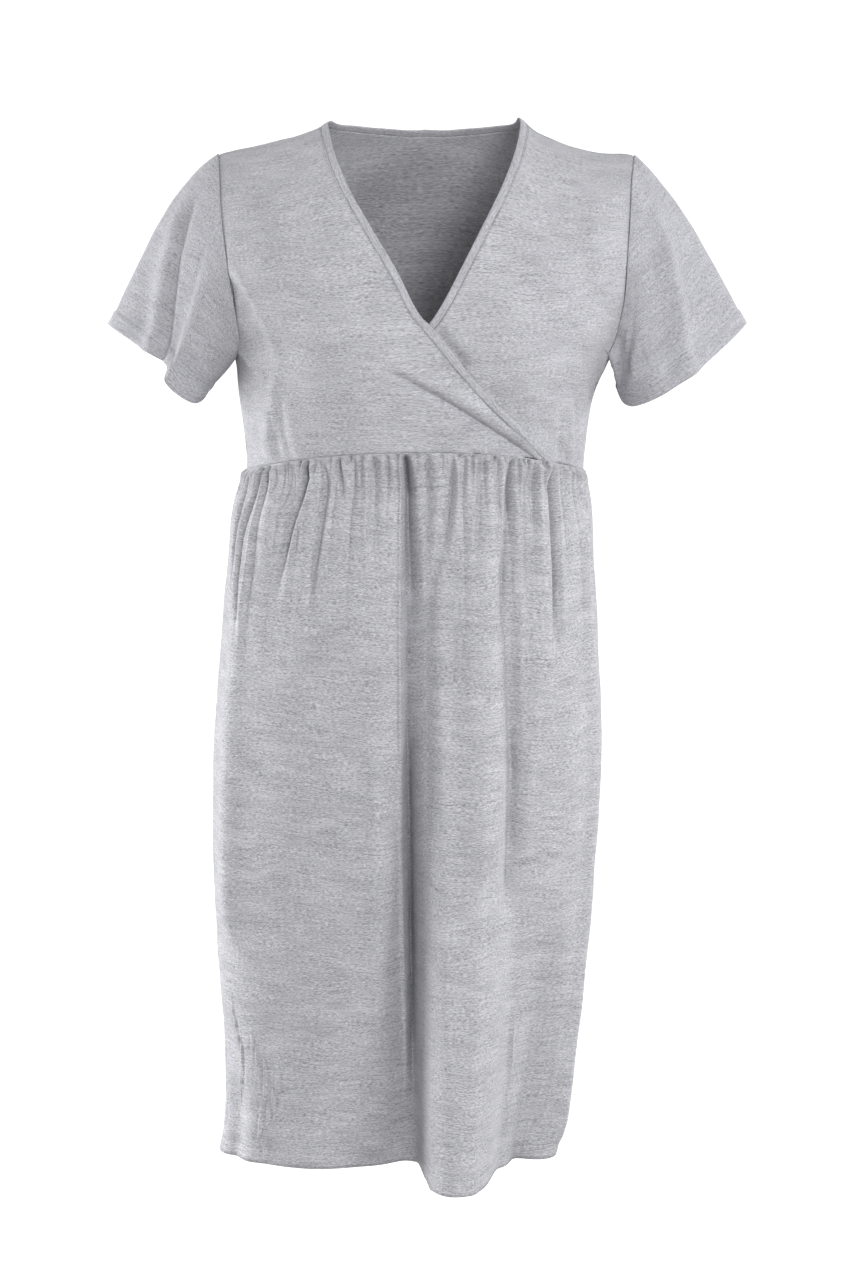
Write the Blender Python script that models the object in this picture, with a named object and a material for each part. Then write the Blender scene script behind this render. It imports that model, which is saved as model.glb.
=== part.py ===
"""A short-sleeved jersey dress with a crossover V neck, an empire seam and a gathered skirt.

It keeps the form it has when worn, with nobody inside. X runs to the wearer's left, -Y is the
front and +Z is up, in metres. The origin lies midway between the two high shoulder points,
where the wearer's shoulders hold the dress.

A place on the form is a turn and a fall. The turn goes round from centre front towards the
wearer's left, and the fall goes down from the shoulder line. Each piece of cloth is a grid of
such places, made into a closed wall.
"""

import bpy
import numpy as np

# Cloth, in metres
CLOTH = 0.0012
HEM_CLOTH = 0.0022
BAND_CLOTH = 0.0020
BAND_PROUD = 0.0002
BAND_CROWN = 0.0006
BAND_WIDTH = 0.0070
SEAM_GAP = 0.0004
LAP_RECESS = 0.0027
LAP_MARGIN = 0.018
LAP_RAMP = 0.020

# The cut, in metres from the high shoulder points
HEM_Z = -0.965
SEAM_SIDE_Z = -0.311
SEAM_FRONT_RISE = 0.027
SEAM_ARCH = 1.5
UNDERARM_Z = -0.207
SHOULDER_TIP = 0.188
SHOULDER_ROUND = 0.12
SHOULDER_HALF_WIDTH = 0.214
SHOULDER_FADE = 2.2
SIDE_TURN = np.radians(84)
BACK_SIDE_TURN = 2 * np.pi - SIDE_TURN
SQUARE = 0.85
METRES_PER_TURN = 0.125
BUST_OUT = 0.078
BUST_Z = -0.190
BUST_ROUND = 0.052
BUST_RISE = 0.009
BUST_SIDE = 4

# Half-widths to each side, depth to the front and back, and how flat each half is (1 is round)
SECTION_COLUMNS = ("z", "right", "left", "front", "back", "front_flat", "back_flat")
SECTIONS = np.array([
    (-0.980, 0.201, 0.122, 0.066, 0.100, 0.72, 0.80),
    (-0.930, 0.193, 0.130, 0.070, 0.102, 0.73, 0.80),
    (-0.850, 0.192, 0.140, 0.080, 0.106, 0.75, 0.80),
    (-0.760, 0.197, 0.150, 0.092, 0.110, 0.77, 0.80),
    (-0.660, 0.200, 0.158, 0.104, 0.114, 0.79, 0.80),
    (-0.570, 0.198, 0.163, 0.113, 0.114, 0.80, 0.80),
    (-0.480, 0.191, 0.159, 0.118, 0.108, 0.80, 0.80),
    (-0.390, 0.182, 0.153, 0.119, 0.097, 0.80, 0.80),
    (-0.345, 0.175, 0.149, 0.118, 0.090, 0.80, 0.80),
    (-0.312, 0.165, 0.144, 0.114, 0.083, 0.80, 0.80),
    (-0.285, 0.166, 0.146, 0.118, 0.084, 0.80, 0.80),
    (-0.245, 0.171, 0.152, 0.122, 0.088, 0.80, 0.80),
    (-0.207, 0.175, 0.168, 0.122, 0.092, 0.80, 0.80),
    (-0.150, 0.194, 0.192, 0.114, 0.092, 0.80, 0.80),
    (-0.100, 0.206, 0.204, 0.102, 0.088, 0.80, 0.80),
    (-0.030, 0.213, 0.213, 0.085, 0.080, 0.80, 0.80),
    (0.040, 0.215, 0.215, 0.075, 0.075, 0.80, 0.80),
])

# Height of the shoulder line at each distance from the middle, on each side
RIDGE_COLUMNS = ("x", "right", "left")
RIDGE = np.array([
    (0.000, 0.030, 0.030),
    (0.050, 0.022, 0.022),
    (0.075, 0.012, 0.012),
    (0.0875, 0.004, 0.004),
    (0.097, -0.002, -0.004),
    (0.113, -0.008, -0.012),
    (0.132, -0.013, -0.019),
    (0.157, -0.019, -0.0245),
    (0.188, -0.026, -0.027),
    (0.220, -0.040, -0.040),
])

# Armhole edge: distance from the middle at each height, front and back, each side
ARMHOLE_COLUMNS = ("z", "right_front", "left_front", "right_back", "left_back")
ARMHOLE = np.array([
    (-0.202, 0.1700, 0.1645, 0.1745, 0.1690),
    (-0.195, 0.1680, 0.1680, 0.1762, 0.1720),
    (-0.170, 0.1700, 0.1745, 0.1785, 0.1780),
    (-0.126, 0.1770, 0.1790, 0.1815, 0.1830),
    (-0.066, 0.1840, 0.1825, 0.1855, 0.1855),
])

# Free edges of the crossed neckline, from the empire seam up to the shoulder
NECK_COLUMNS = ("z", "over_x", "under_x")
NECK = np.array([
    (-0.2970, 0.1170, -0.1130),
    (-0.2800, 0.1020, -0.0960),
    (-0.2640, 0.0860, -0.0790),
    (-0.2400, 0.0620, -0.0530),
    (-0.2095, 0.0345, -0.0260),
    (-0.1670, -0.0015, 0.0040),
    (-0.1240, -0.0260, 0.0290),
    (-0.0830, -0.0510, 0.0505),
    (-0.0560, -0.0670, 0.0645),
    (-0.0280, -0.0800, 0.0765),
    (-0.0035, -0.0875, 0.0835),
    (0.0040, -0.0895, 0.0845),
])

# Free edge of the back neck between the two shoulders
BACK_NECK_COLUMNS = ("x", "z")
BACK_NECK = np.array([
    (-0.0700, -0.0005),
    (-0.0400, -0.0035),
    (0.0000, -0.0045),
    (0.0400, -0.0035),
    (0.0700, -0.0005),
])

# Each cuff, round from the underarm past the front, the outer tip and the back
CUFF_COLUMNS = ("around", "x", "y", "z")
CUFFS = {
    "sleeve_right": np.array([
        (0.00, -0.1940, -0.005, -0.243),
        (0.10, -0.2030, -0.036, -0.248),
        (0.20, -0.2230, -0.056, -0.228),
        (0.27, -0.2240, -0.042, -0.215),
        (0.36, -0.2530, -0.022, -0.203),
        (0.50, -0.2910, 0.020, -0.182),
        (0.64, -0.2750, 0.050, -0.191),
        (0.78, -0.2400, 0.060, -0.209),
        (0.90, -0.2060, 0.040, -0.231),
    ]),
    "sleeve_left": np.array([
        (0.00, 0.1790, -0.008, -0.243),
        (0.10, 0.1880, -0.038, -0.250),
        (0.20, 0.2140, -0.054, -0.238),
        (0.27, 0.2330, -0.048, -0.226),
        (0.36, 0.2580, -0.028, -0.208),
        (0.50, 0.2920, 0.016, -0.181),
        (0.64, 0.2770, 0.048, -0.190),
        (0.78, 0.2390, 0.058, -0.210),
        (0.90, 0.2000, 0.038, -0.233),
    ]),
}
SLEEVE_SLOPE = (0.5, 0.0, -0.866)
SLEEVE_HEAD_REACH = 0.9
SLEEVE_CUFF_REACH = 0.8
LEAST_MITRE = 1.3

# Raised folds of the bodice, each along a line on its panel
FOLD_END_SHARE = 0.25
FOLD_RUN_PAST = 0.12
BODICE_FOLD_COLUMNS = ("x_start", "z_start", "x_end", "z_end", "width", "rise")
BODICE_FOLDS = {
    "bodice_front_right": (
        (-0.045, -0.213, 0.078, -0.288, 0.014, 0.0035),
        (-0.164, -0.205, -0.135, -0.235, 0.012, 0.0040),
        (-0.152, -0.240, -0.148, -0.296, 0.010, 0.0030),
    ),
    "bodice_front_left": (
        (0.146, -0.225, 0.134, -0.296, 0.010, 0.0035),
        (0.136, -0.240, 0.131, -0.296, 0.008, 0.0020),
    ),
    "bodice_back": (
        (-0.135, -0.215, -0.120, -0.300, 0.014, 0.0035),
        (-0.050, -0.225, -0.042, -0.300, 0.014, 0.0025),
        (0.060, -0.220, 0.048, -0.300, 0.014, 0.0030),
        (0.138, -0.210, 0.118, -0.300, 0.014, 0.0035),
    ),
}

# Folds of the skirt: turns and widths in degrees, rises in metres (below zero is a trough)
SKIRT_FOLD_COLUMNS = (
    "turn_top", "turn_low", "z_top", "z_low", "width_right", "width_left", "rise_top", "rise_low",
)
SKIRT_FOLDS = (
    (-3.0, -2.5, -0.285, -0.990, 5.0, 4.5, -0.008, -0.014),
    (14.5, 14.0, -0.285, -0.640, 7.0, 6.0, 0.007, 0.010),
    (10.0, 8.0, -0.500, -0.990, 5.0, 8.0, 0.000, 0.060),
    (18.0, 18.0, -0.500, -0.990, 8.0, 9.0, 0.000, 0.054),
    (27.0, 24.0, -0.300, -0.680, 4.0, 4.0, -0.004, -0.010),
    (35.0, 31.0, -0.285, -0.520, 3.5, 3.5, -0.007, -0.004),
    (46.5, 45.0, -0.285, -0.410, 3.5, 3.5, -0.009, -0.005),
    (6.2, 1.9, -0.285, -0.385, 2.8, 2.8, -0.006, -0.004),
    (-40.0, -43.0, -0.285, -0.395, 3.5, 3.5, -0.006, -0.004),
    (-31.0, -31.0, -0.285, -0.400, 3.0, 3.0, -0.006, -0.004),
    (-62.0, -64.0, -0.330, -0.720, 7.0, 7.0, 0.005, 0.008),
    (66.0, 74.0, -0.330, -0.930, 5.0, 6.0, 0.005, 0.008),
    (-8.0, -7.0, -0.720, -0.990, 14.0, 7.0, 0.000, -0.012),
    (43.0, 46.0, -0.700, -0.990, 11.0, 16.0, 0.000, -0.026),
    (-70.0, -70.0, -0.800, -0.990, 13.0, 12.0, 0.000, -0.014),
    (-50.0, -47.0, -0.800, -0.990, 9.0, 9.0, 0.000, -0.006),
    (112.0, 109.0, -0.290, -0.700, 7.0, 7.0, -0.007, -0.003),
    (131.0, 134.0, -0.285, -0.990, 8.0, 9.0, 0.005, 0.020),
    (155.0, 152.0, -0.285, -0.990, 7.0, 8.0, -0.006, -0.014),
    (176.0, 178.0, -0.285, -0.990, 8.0, 9.0, 0.006, 0.016),
    (203.0, 201.0, -0.285, -0.990, 7.0, 7.0, -0.007, -0.012),
    (226.0, 222.0, -0.285, -0.990, 9.0, 8.0, 0.005, 0.022),
    (251.0, 254.0, -0.290, -0.720, 7.0, 7.0, -0.006, -0.003),
)
FOLD_FADE = 0.040

# Gathers of the skirt: where each begins, in degrees of turn, across the front
GATHERS_FRONT = (
    -84, -77, -69, -62, -56, -47, -42, -37, -31, -25, -19, -13.5, -9, -4.5,
    0, 5, 9.5, 13, 17, 22, 26.5, 31, 36, 44, 53, 62, 69, 77, 84,
)
GATHERS_BACK = 26
GATHER_UNEVEN = 0.28
GATHER_UNEVEN_STEP = 2.3
GATHER_RISE = 0.055
GATHER_START = 0.018
GATHER_REACH = 0.055
GATHER_REACH_CHANGE = 0.5
GATHER_REACH_STEP = 2.1

# Grid of each piece
SIDE_ROWS = 5
ARMHOLE_ROWS = 12
FRONT_COLUMNS = 18
SHOULDER_COLUMNS = 5
BACK_NECK_STEPS = 14
SLEEVE_HEM_SHARE = 0.92
SLEEVE_ROWS = (0.0, 0.06, 0.16, 0.32, 0.50, 0.70, SLEEVE_HEM_SHARE, 1.0)
COLUMNS_PER_GATHER = 4
SKIRT_HEM_SHARE = 0.023
SKIRT_FINE_ROWS = (1.0, 0.991, 0.975, 0.945, 0.895)
SKIRT_COARSE_ROWS = (
    0.83, 0.75, 0.66, 0.57, 0.48, 0.39, 0.30, 0.21, 0.12, SKIRT_HEM_SHARE, 0.0,
)
BEND_FADE = 2

# Half the shoulder seam's gap, as a fall, and the steps of the working out
SHOULDER_FALL = 0.0025
NUDGE = 0.001
MOST_FALL = 10
HALVINGS = 40
CURVE_STEPS = 20
SHARP_ANGLE = np.radians(50)

HEATHER_GREY = (0.47, 0.47, 0.50)
CLOTH_ROUGHNESS = 0.92


def smooth(at, knots, values):
    """Cubic Hermite curve through the knots, each slope taken from the two neighbours."""
    slopes = np.gradient(values, knots)
    at = np.clip(at, knots[0], knots[-1])
    low = np.clip(np.searchsorted(knots, at) - 1, 0, len(knots) - 2)
    step = knots[low + 1] - knots[low]
    f = (at - knots[low]) / step
    ends = values[low] * (1 + 2 * f) * (1 - f) ** 2 + values[low + 1] * f * f * (3 - 2 * f)
    return ends + step * f * (1 - f) * (slopes[low] * (1 - f) - slopes[low + 1] * f)


def column(table, names, name):
    return table[:, names.index(name)]


def read(table, names, name, at):
    """One named column of a table, read smoothly at any value of its first column."""
    return smooth(at, table[:, 0], column(table, names, name))


def ease(f):
    """0 below 0, 1 above 1, and a smooth S between."""
    f = np.clip(f, 0, 1)
    return f * f * (3 - 2 * f)


def unit(vectors):
    return vectors / np.linalg.norm(vectors, axis=-1, keepdims=True)


def along(points, count):
    """count points spaced evenly, by length, on a smooth curve through the given points."""
    lengths = np.r_[0, np.cumsum(np.linalg.norm(np.diff(points, axis=0), axis=1))]
    fine = np.linspace(0, lengths[-1], CURVE_STEPS * count)
    curve = np.stack([smooth(fine, lengths, axis) for axis in points.T], -1)
    lengths = np.r_[0, np.cumsum(np.linalg.norm(np.diff(curve, axis=0), axis=1))]
    at = np.linspace(0, lengths[-1], count)
    return np.stack([np.interp(at, lengths, axis) for axis in curve.T], -1)


def patch(bottom, top, first, last):
    """A grid between four edges. The bends of its side edges die out towards the middle."""
    s = np.linspace(0, 1, len(bottom))[None, :, None]
    t = np.linspace(0, 1, len(first))[:, None]
    rows = (1 - t[:, None]) * bottom + t[:, None] * top
    first_bend = (first - (1 - t) * first[0] - t * first[-1])[:, None]
    last_bend = (last - (1 - t) * last[0] - t * last[-1])[:, None]
    return rows + first_bend * (1 - s) ** BEND_FADE + last_bend * s ** BEND_FADE


def half_width(turn, z):
    sides = [read(SECTIONS, SECTION_COLUMNS, name, z) for name in ("right", "left")]
    return np.where(np.sin(turn) < 0, *sides)


def shoulder_line(turn):
    """Height of the shoulder line above that turn."""
    x = SHOULDER_HALF_WIDTH * np.abs(np.sin(turn)) ** SQUARE
    sides = [read(RIDGE, RIDGE_COLUMNS, name, x) for name in ("right", "left")]
    return np.where(np.sin(turn) < 0, *sides)


def height_at(turn, fall):
    """The fall follows a quarter circle over the shoulder, and then goes straight down. Far from
    the shoulder line, the same fall is the same height all round."""
    quarter = np.pi / 2
    down = np.where(fall < quarter, 1 - np.cos(fall), 1 + fall - quarter)
    return shoulder_line(turn) * (1 - ease(fall / SHOULDER_FADE)) - SHOULDER_ROUND * down


def fall_at(turn, z):
    """The fall at which that turn reaches a height, found by halving."""
    low = np.zeros(np.broadcast(turn, z).shape)
    high = low + MOST_FALL
    for _ in range(HALVINGS):
        middle = (low + high) / 2
        too_high = height_at(turn, middle) > z
        low = np.where(too_high, middle, low)
        high = np.where(too_high, high, middle)
    return low


def turn_at(x, z, behind=False):
    """The turn at which the form has that x, on its front or its back."""
    across = np.clip(np.abs(x) / half_width(np.sign(x), z), 0, 1) ** (1 / SQUARE)
    turn = np.sign(x) * np.arcsin(across)
    return np.pi - turn if behind else turn


def place(x, z, behind=False):
    turn = turn_at(x, z, behind)
    return np.stack([turn, fall_at(turn, z)], -1)


def form(turn, fall):
    """A point of the worn form: rounded sections, closing over the shoulders, with a full bust."""
    z = height_at(turn, fall)
    across = np.sin(turn)
    ahead = np.cos(turn)
    depth = {name: read(SECTIONS, SECTION_COLUMNS, name, z) for name in SECTION_COLUMNS[3:]}
    x = half_width(turn, z) * np.sign(across) * np.abs(across) ** SQUARE
    front = depth["front"] * np.abs(ahead) ** depth["front_flat"]
    back = depth["back"] * np.abs(ahead) ** depth["back_flat"]
    from_bust = (np.abs(x) - BUST_OUT) ** 2 + (z - BUST_Z) ** 2
    bust = BUST_RISE * np.exp(-from_bust / BUST_ROUND ** 2)
    front = front + bust * np.clip(BUST_SIDE * ahead, 0, 1)
    y = np.where(ahead > 0, -front, back) * np.sin(np.minimum(fall, np.pi / 2))
    return np.stack([x, y, z], -1)


def slopes(shape, turn, fall):
    """How a point moves as its turn and its fall grow, by central differences."""
    turning = (shape(turn + NUDGE, fall) - shape(turn - NUDGE, fall)) / (2 * NUDGE)
    falling = (shape(turn, fall + NUDGE) - shape(turn, fall - NUDGE)) / (2 * NUDGE)
    return turning, falling


def outward(shape, turn, fall):
    turning, falling = slopes(shape, turn, fall)
    return unit(np.cross(falling, turning))


def seam_turn(turn, fall):
    """Half the seam's gap, as a turn."""
    return SEAM_GAP / 2 / np.linalg.norm(slopes(form, turn, fall)[0], axis=-1)


def seam_height(turn):
    """Height of the empire seam, which arches up over the front."""
    return SEAM_SIDE_Z + SEAM_FRONT_RISE * np.clip(np.cos(turn), 0, 1) ** SEAM_ARCH


def above_seam(places):
    """The same places, with any that lie below the bodice's bottom edge lifted to it."""
    lowest = fall_at(places[..., 0], seam_height(places[..., 0]) + SEAM_GAP / 2)
    return np.stack([places[..., 0], np.minimum(places[..., 1], lowest)], -1)


def beside(places, tangents, distance):
    """Places moved along the form, square to a line that has those tangents, to its right."""
    turn, fall = places.T
    turning, falling = slopes(form, turn, fall)
    aim = distance * unit(np.cross(unit(np.cross(falling, turning)), tangents))
    a = (turning * turning).sum(-1)
    b = (turning * falling).sum(-1)
    c = (falling * falling).sum(-1)
    p = (turning * aim).sum(-1)
    q = (falling * aim).sum(-1)
    steps = np.stack([c * p - b * q, a * q - b * p], -1) / (a * c - b * b)[:, None]
    return places + steps


def neckline():
    """Places along the free edge: up the over panel, round the back and down the under panel."""
    z = column(NECK, NECK_COLUMNS, "z")
    count = SIDE_ROWS + ARMHOLE_ROWS + 1
    over = along(place(column(NECK, NECK_COLUMNS, "over_x"), z), count)
    under = along(place(column(NECK, NECK_COLUMNS, "under_x"), z), count)
    ends = np.pi - np.array([over[-1], under[-1]])[:, 0]
    x, z = (column(BACK_NECK, BACK_NECK_COLUMNS, name) for name in BACK_NECK_COLUMNS)
    back = np.vstack([(ends[0], 0), place(x, z, behind=True), (ends[1], 0)])
    back = along(back, BACK_NECK_STEPS + 1)
    return over, back[1:-1], under[::-1]


def over_turn(z):
    """Turn of the over panel's free edge at each height."""
    return turn_at(read(NECK, NECK_COLUMNS, "over_x", z), z)


def recess(turn, fall):
    """How far the under panel lies below the form: fully under the over panel, then less."""
    z = height_at(turn, fall)
    beyond = (turn - over_turn(z)) * METRES_PER_TURN
    return LAP_RECESS * (1 - ease((beyond - LAP_MARGIN) / LAP_RAMP))


def shoulder_tip(side):
    """Turn of the shoulder tip, where the sleeve's head meets the shoulder line."""
    name = "right" if side < 0 else "left"
    return turn_at(side * SHOULDER_TIP, read(RIDGE, RIDGE_COLUMNS, name, SHOULDER_TIP))


def armhole(side, behind):
    """Places up one half of an armhole, from the underarm to the shoulder tip."""
    name = ("right_" if side < 0 else "left_") + ("back" if behind else "front")
    x = side * column(ARMHOLE, ARMHOLE_COLUMNS, name)
    rows = place(x, column(ARMHOLE, ARMHOLE_COLUMNS, "z"), behind)
    underarm = side * SIDE_TURN
    tip = shoulder_tip(side)
    if behind and side < 0:
        underarm = BACK_SIDE_TURN
    start = (underarm, fall_at(underarm, UNDERARM_Z))
    end = (np.pi - tip if behind else tip, 0)
    return along(np.vstack([start, rows, end]), ARMHOLE_ROWS + 1)


def side_edge(side, behind):
    """Places up a panel's side seam and its half of the armhole."""
    turn = side * SIDE_TURN
    if behind and side < 0:
        turn = BACK_SIDE_TURN
    z = np.linspace(seam_height(turn) + SEAM_GAP / 2, UNDERARM_Z, SIDE_ROWS + 1)
    seam = np.stack([np.full(len(z), turn), fall_at(turn, z)], -1)
    edge = np.vstack([seam, armhole(side, behind)[1:]])
    edge[:SIDE_ROWS + 1, 0] += seam_turn(*seam.T) * (side if behind else -side)
    edge[-1, 1] = SHOULDER_FALL
    return edge


def bodice_bottom(start, end):
    turn = np.linspace(start, end, FRONT_COLUMNS + 1)
    return np.stack([turn, fall_at(turn, seam_height(turn) + SEAM_GAP / 2)], -1)


def shoulder_edge(start, end, count):
    turn = np.linspace(start, end, count + 1)
    return np.stack([turn, np.full(count + 1, SHOULDER_FALL)], -1)


def fold_rise(name, points):
    """Height of a bodice panel's raised folds, each a soft ridge that dies out at its ends."""
    rise = np.zeros(points.shape[:-1])
    for values in BODICE_FOLDS[name]:
        fold = dict(zip(BODICE_FOLD_COLUMNS, values))
        start = np.array([fold["x_start"], fold["z_start"]])
        run = np.array([fold["x_end"], fold["z_end"]]) - start
        offset = points[..., [0, 2]] - start
        f = (offset @ run) / (run @ run)
        away = offset - np.clip(f, 0, 1)[..., None] * run
        near = np.exp(-(away ** 2).sum(-1) / fold["width"] ** 2)
        ends = ease(f / FOLD_END_SHARE) * ease((1 + FOLD_RUN_PAST - f) / FOLD_END_SHARE)
        rise = rise + fold["rise"] * near * ends
    return rise


def skirt_fold_rise(turn, z):
    """Height of the skirt's folds. Each follows a leaning line, with its own width on each side."""
    rise = np.zeros(np.broadcast(turn, z).shape)
    for values in SKIRT_FOLDS:
        fold = dict(zip(SKIRT_FOLD_COLUMNS, values))
        f = (fold["z_top"] - z) / (fold["z_top"] - fold["z_low"])
        line = fold["turn_top"] + (fold["turn_low"] - fold["turn_top"]) * f
        beside_line = (np.degrees(turn) - line + 180) % 360 - 180
        width = np.where(beside_line < 0, fold["width_right"], fold["width_left"])
        height = fold["rise_top"] + (fold["rise_low"] - fold["rise_top"]) * np.clip(f, 0, 1)
        height = height * ease((fold["z_top"] - z) / FOLD_FADE)
        height = height * ease((z - fold["z_low"]) / FOLD_FADE + 1)
        rise = rise + height * np.exp(-(beside_line / width) ** 2)
    return rise


def gather_turns():
    """The turn at which each gather begins, all round."""
    count = np.arange(1, GATHERS_BACK)
    uneven = GATHER_UNEVEN * np.sin(GATHER_UNEVEN_STEP * count)
    back = SIDE_TURN + (BACK_SIDE_TURN - SIDE_TURN) * (count + uneven) / GATHERS_BACK
    return np.r_[np.radians(GATHERS_FRONT), back, BACK_SIDE_TURN]


def gather_rise(turn, z):
    """Height of the gathers: a wave for each, deepest just under the seam, and dying out below."""
    starts = gather_turns()
    turn = (turn - starts[0]) % (2 * np.pi) + starts[0]
    number = np.interp(turn, starts, np.arange(len(starts)))
    which = np.clip(number.astype(int), 0, len(starts) - 2)
    pitch = np.diff(starts)[which]
    below = np.clip(seam_height(turn) - z, 0, None)
    reach = GATHER_REACH * (1 + GATHER_REACH_CHANGE * np.sin(GATHER_REACH_STEP * which))
    size = GATHER_RISE * pitch * ease(below / GATHER_START) * np.exp(-below / reach)
    return size * (1 - np.cos(2 * np.pi * number)) / 2


def skirt(turn, fall):
    """A point of the skirt: the form, moved out level by its folds and gathers."""
    z = height_at(turn, fall)
    level = outward(form, turn, fall) * (1, 1, 0)
    rise = skirt_fold_rise(turn, z) + gather_rise(turn, z)
    return form(turn, fall) + unit(level) * rise[..., None]


def grid_faces(points, counts, closed=False):
    """Triangles between rows of points, each square cut along its shorter diagonal. A row may
    have half the columns of the one above it."""
    starts = np.r_[0, np.cumsum(counts)]
    faces = []
    for row in range(len(counts) - 1):
        low = starts[row]
        high = starts[row + 1]
        columns = counts[row] if closed else counts[row] - 1
        for i in range(columns):
            a = low + i
            b = low + (i + 1) % counts[row]
            if counts[row + 1] > counts[row]:
                c = high + 2 * i
                faces += [(a, b, c + 1), (b, c + 2, c + 1), (a, c + 1, c)]
                continue
            c = high + i
            d = high + (i + 1) % counts[row]
            if np.linalg.norm(points[a] - points[d]) < np.linalg.norm(points[b] - points[c]):
                faces += [(a, b, d), (a, d, c)]
            else:
                faces += [(a, b, c), (b, d, c)]
    return faces


def wall(name, outer, inner, counts, closed=False):
    """A closed wall of cloth: an outer and an inner surface of the same grid, and its edges."""
    faces = grid_faces(outer, counts, closed)
    total = len(outer)
    edges = {(a, b) for face in faces for a, b in zip(face, face[1:] + face[:1])}
    free = sorted((a, b) for a, b in edges if (b, a) not in edges)
    faces += [tuple(point + total for point in reversed(face)) for face in faces]
    faces += [(b, a, a + total, b + total) for a, b in free]
    mesh = bpy.data.meshes.new(name)
    mesh.from_pydata(np.vstack([outer, inner]).tolist(), [], faces)
    mesh.shade_smooth()
    mesh.set_sharp_from_angle(angle=SHARP_ANGLE)
    mesh.materials.append(jersey(name))
    part = bpy.data.objects.new(name, mesh)
    bpy.data.collections["jersey_dress"].objects.link(part)
    return part


def jersey(name):
    """Heather grey knit cloth."""
    material = bpy.data.materials.new("jersey_" + name)
    material.use_nodes = True
    shader = material.node_tree.nodes["Principled BSDF"]
    shader.inputs["Base Color"].default_value = (*HEATHER_GREY, 1)
    shader.inputs["Roughness"].default_value = CLOTH_ROUGHNESS
    shader.inputs["Metallic"].default_value = 0
    material.diffuse_color = (*HEATHER_GREY, 1)
    return material


def make_sleeve(name, side):
    """A tube from the armhole to the cuff. Gives back the wall direction along the armhole."""
    front = armhole(side, behind=False)
    back = armhole(side, behind=True)
    places = np.vstack([front, back[-2:0:-1]])
    head = form(*places.T)
    body_out = outward(form, *places.T)
    count = len(head)
    cuff_rows = CUFFS[name]
    cuff_rows = np.vstack([cuff_rows[-1:] - (1, 0, 0, 0), cuff_rows, cuff_rows[:2] + (1, 0, 0, 0)])
    around = np.arange(count) / count
    cuff = np.stack([read(cuff_rows, CUFF_COLUMNS, axis, around) for axis in "xyz"], -1)
    tangent = unit(np.roll(head, -1, axis=0) - np.roll(head, 1, axis=0))
    slope = np.array(SLEEVE_SLOPE) * (side, 1, 1)
    across = np.cross(tangent, body_out)
    across = across * np.sign(across @ (side, 0, 0))[:, None]
    up = ease((head[:, 2] - UNDERARM_Z) / (head[:, 2].max() - UNDERARM_Z))[:, None]
    leave = unit(up * across + (1 - up) * slope)
    span = np.linalg.norm(cuff - head, axis=-1, keepdims=True)
    f = np.array(SLEEVE_ROWS)[:, None, None]
    grid = head * (1 + 2 * f) * (1 - f) ** 2 + cuff * f * f * (3 - 2 * f)
    grid = grid + f * (1 - f) ** 2 * span * SLEEVE_HEAD_REACH * leave
    grid = grid - f * f * (1 - f) * span * SLEEVE_CUFF_REACH * slope
    turning = np.roll(grid, -1, axis=1) - np.roll(grid, 1, axis=1)
    falling = np.gradient(grid, axis=0)
    normals = unit(np.cross(turning, falling) * -side)
    middle = body_out + normals[0]
    length = np.linalg.norm(middle, axis=-1, keepdims=True)
    mitre = unit(middle) * 2 / np.maximum(length, LEAST_MITRE)
    apart = np.cross(tangent, unit(middle))
    apart = apart * np.sign(apart @ (side, 0, 0))[:, None]
    bends_over = (((normals[0] - body_out) * apart).sum(-1) > 0)[:, None]
    grid[0] = grid[0] + apart * SEAM_GAP
    normals[0] = np.where(bends_over, mitre, normals[0])
    seam = np.where(bends_over, mitre, body_out)
    thick = np.where(f < SLEEVE_HEM_SHARE, CLOTH, HEM_CLOTH)
    inner = grid - normals * thick
    if side > 0:
        grid = grid[::-1]
        inner = inner[::-1]
    counts = [count] * len(SLEEVE_ROWS)
    wall(name, grid.reshape(-1, 3), inner.reshape(-1, 3), counts, closed=True)
    return {False: seam[:ARMHOLE_ROWS + 1], True: np.vstack([seam[ARMHOLE_ROWS:], seam[:1]])[::-1]}


def make_bodice_panel(name, places, mitres, sunk):
    """A panel from its places. mitres gives the wall direction along each armhole edge it has."""
    places = above_seam(places)
    turn = places[..., 0]
    fall = places[..., 1]
    normals = outward(form, turn, fall)
    points = form(turn, fall)
    rise = fold_rise(name, points) - sunk(turn, fall)
    outer = points + normals * rise[..., None]
    walls = normals.copy()
    for edge_column, mitre in mitres.items():
        walls[SIDE_ROWS:, edge_column] = mitre
    inner = outer - walls * CLOTH
    counts = [places.shape[1]] * places.shape[0]
    wall(name, outer.reshape(-1, 3), inner.reshape(-1, 3), counts)


def level_with_form(turn, fall):
    return np.zeros_like(turn)


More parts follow.
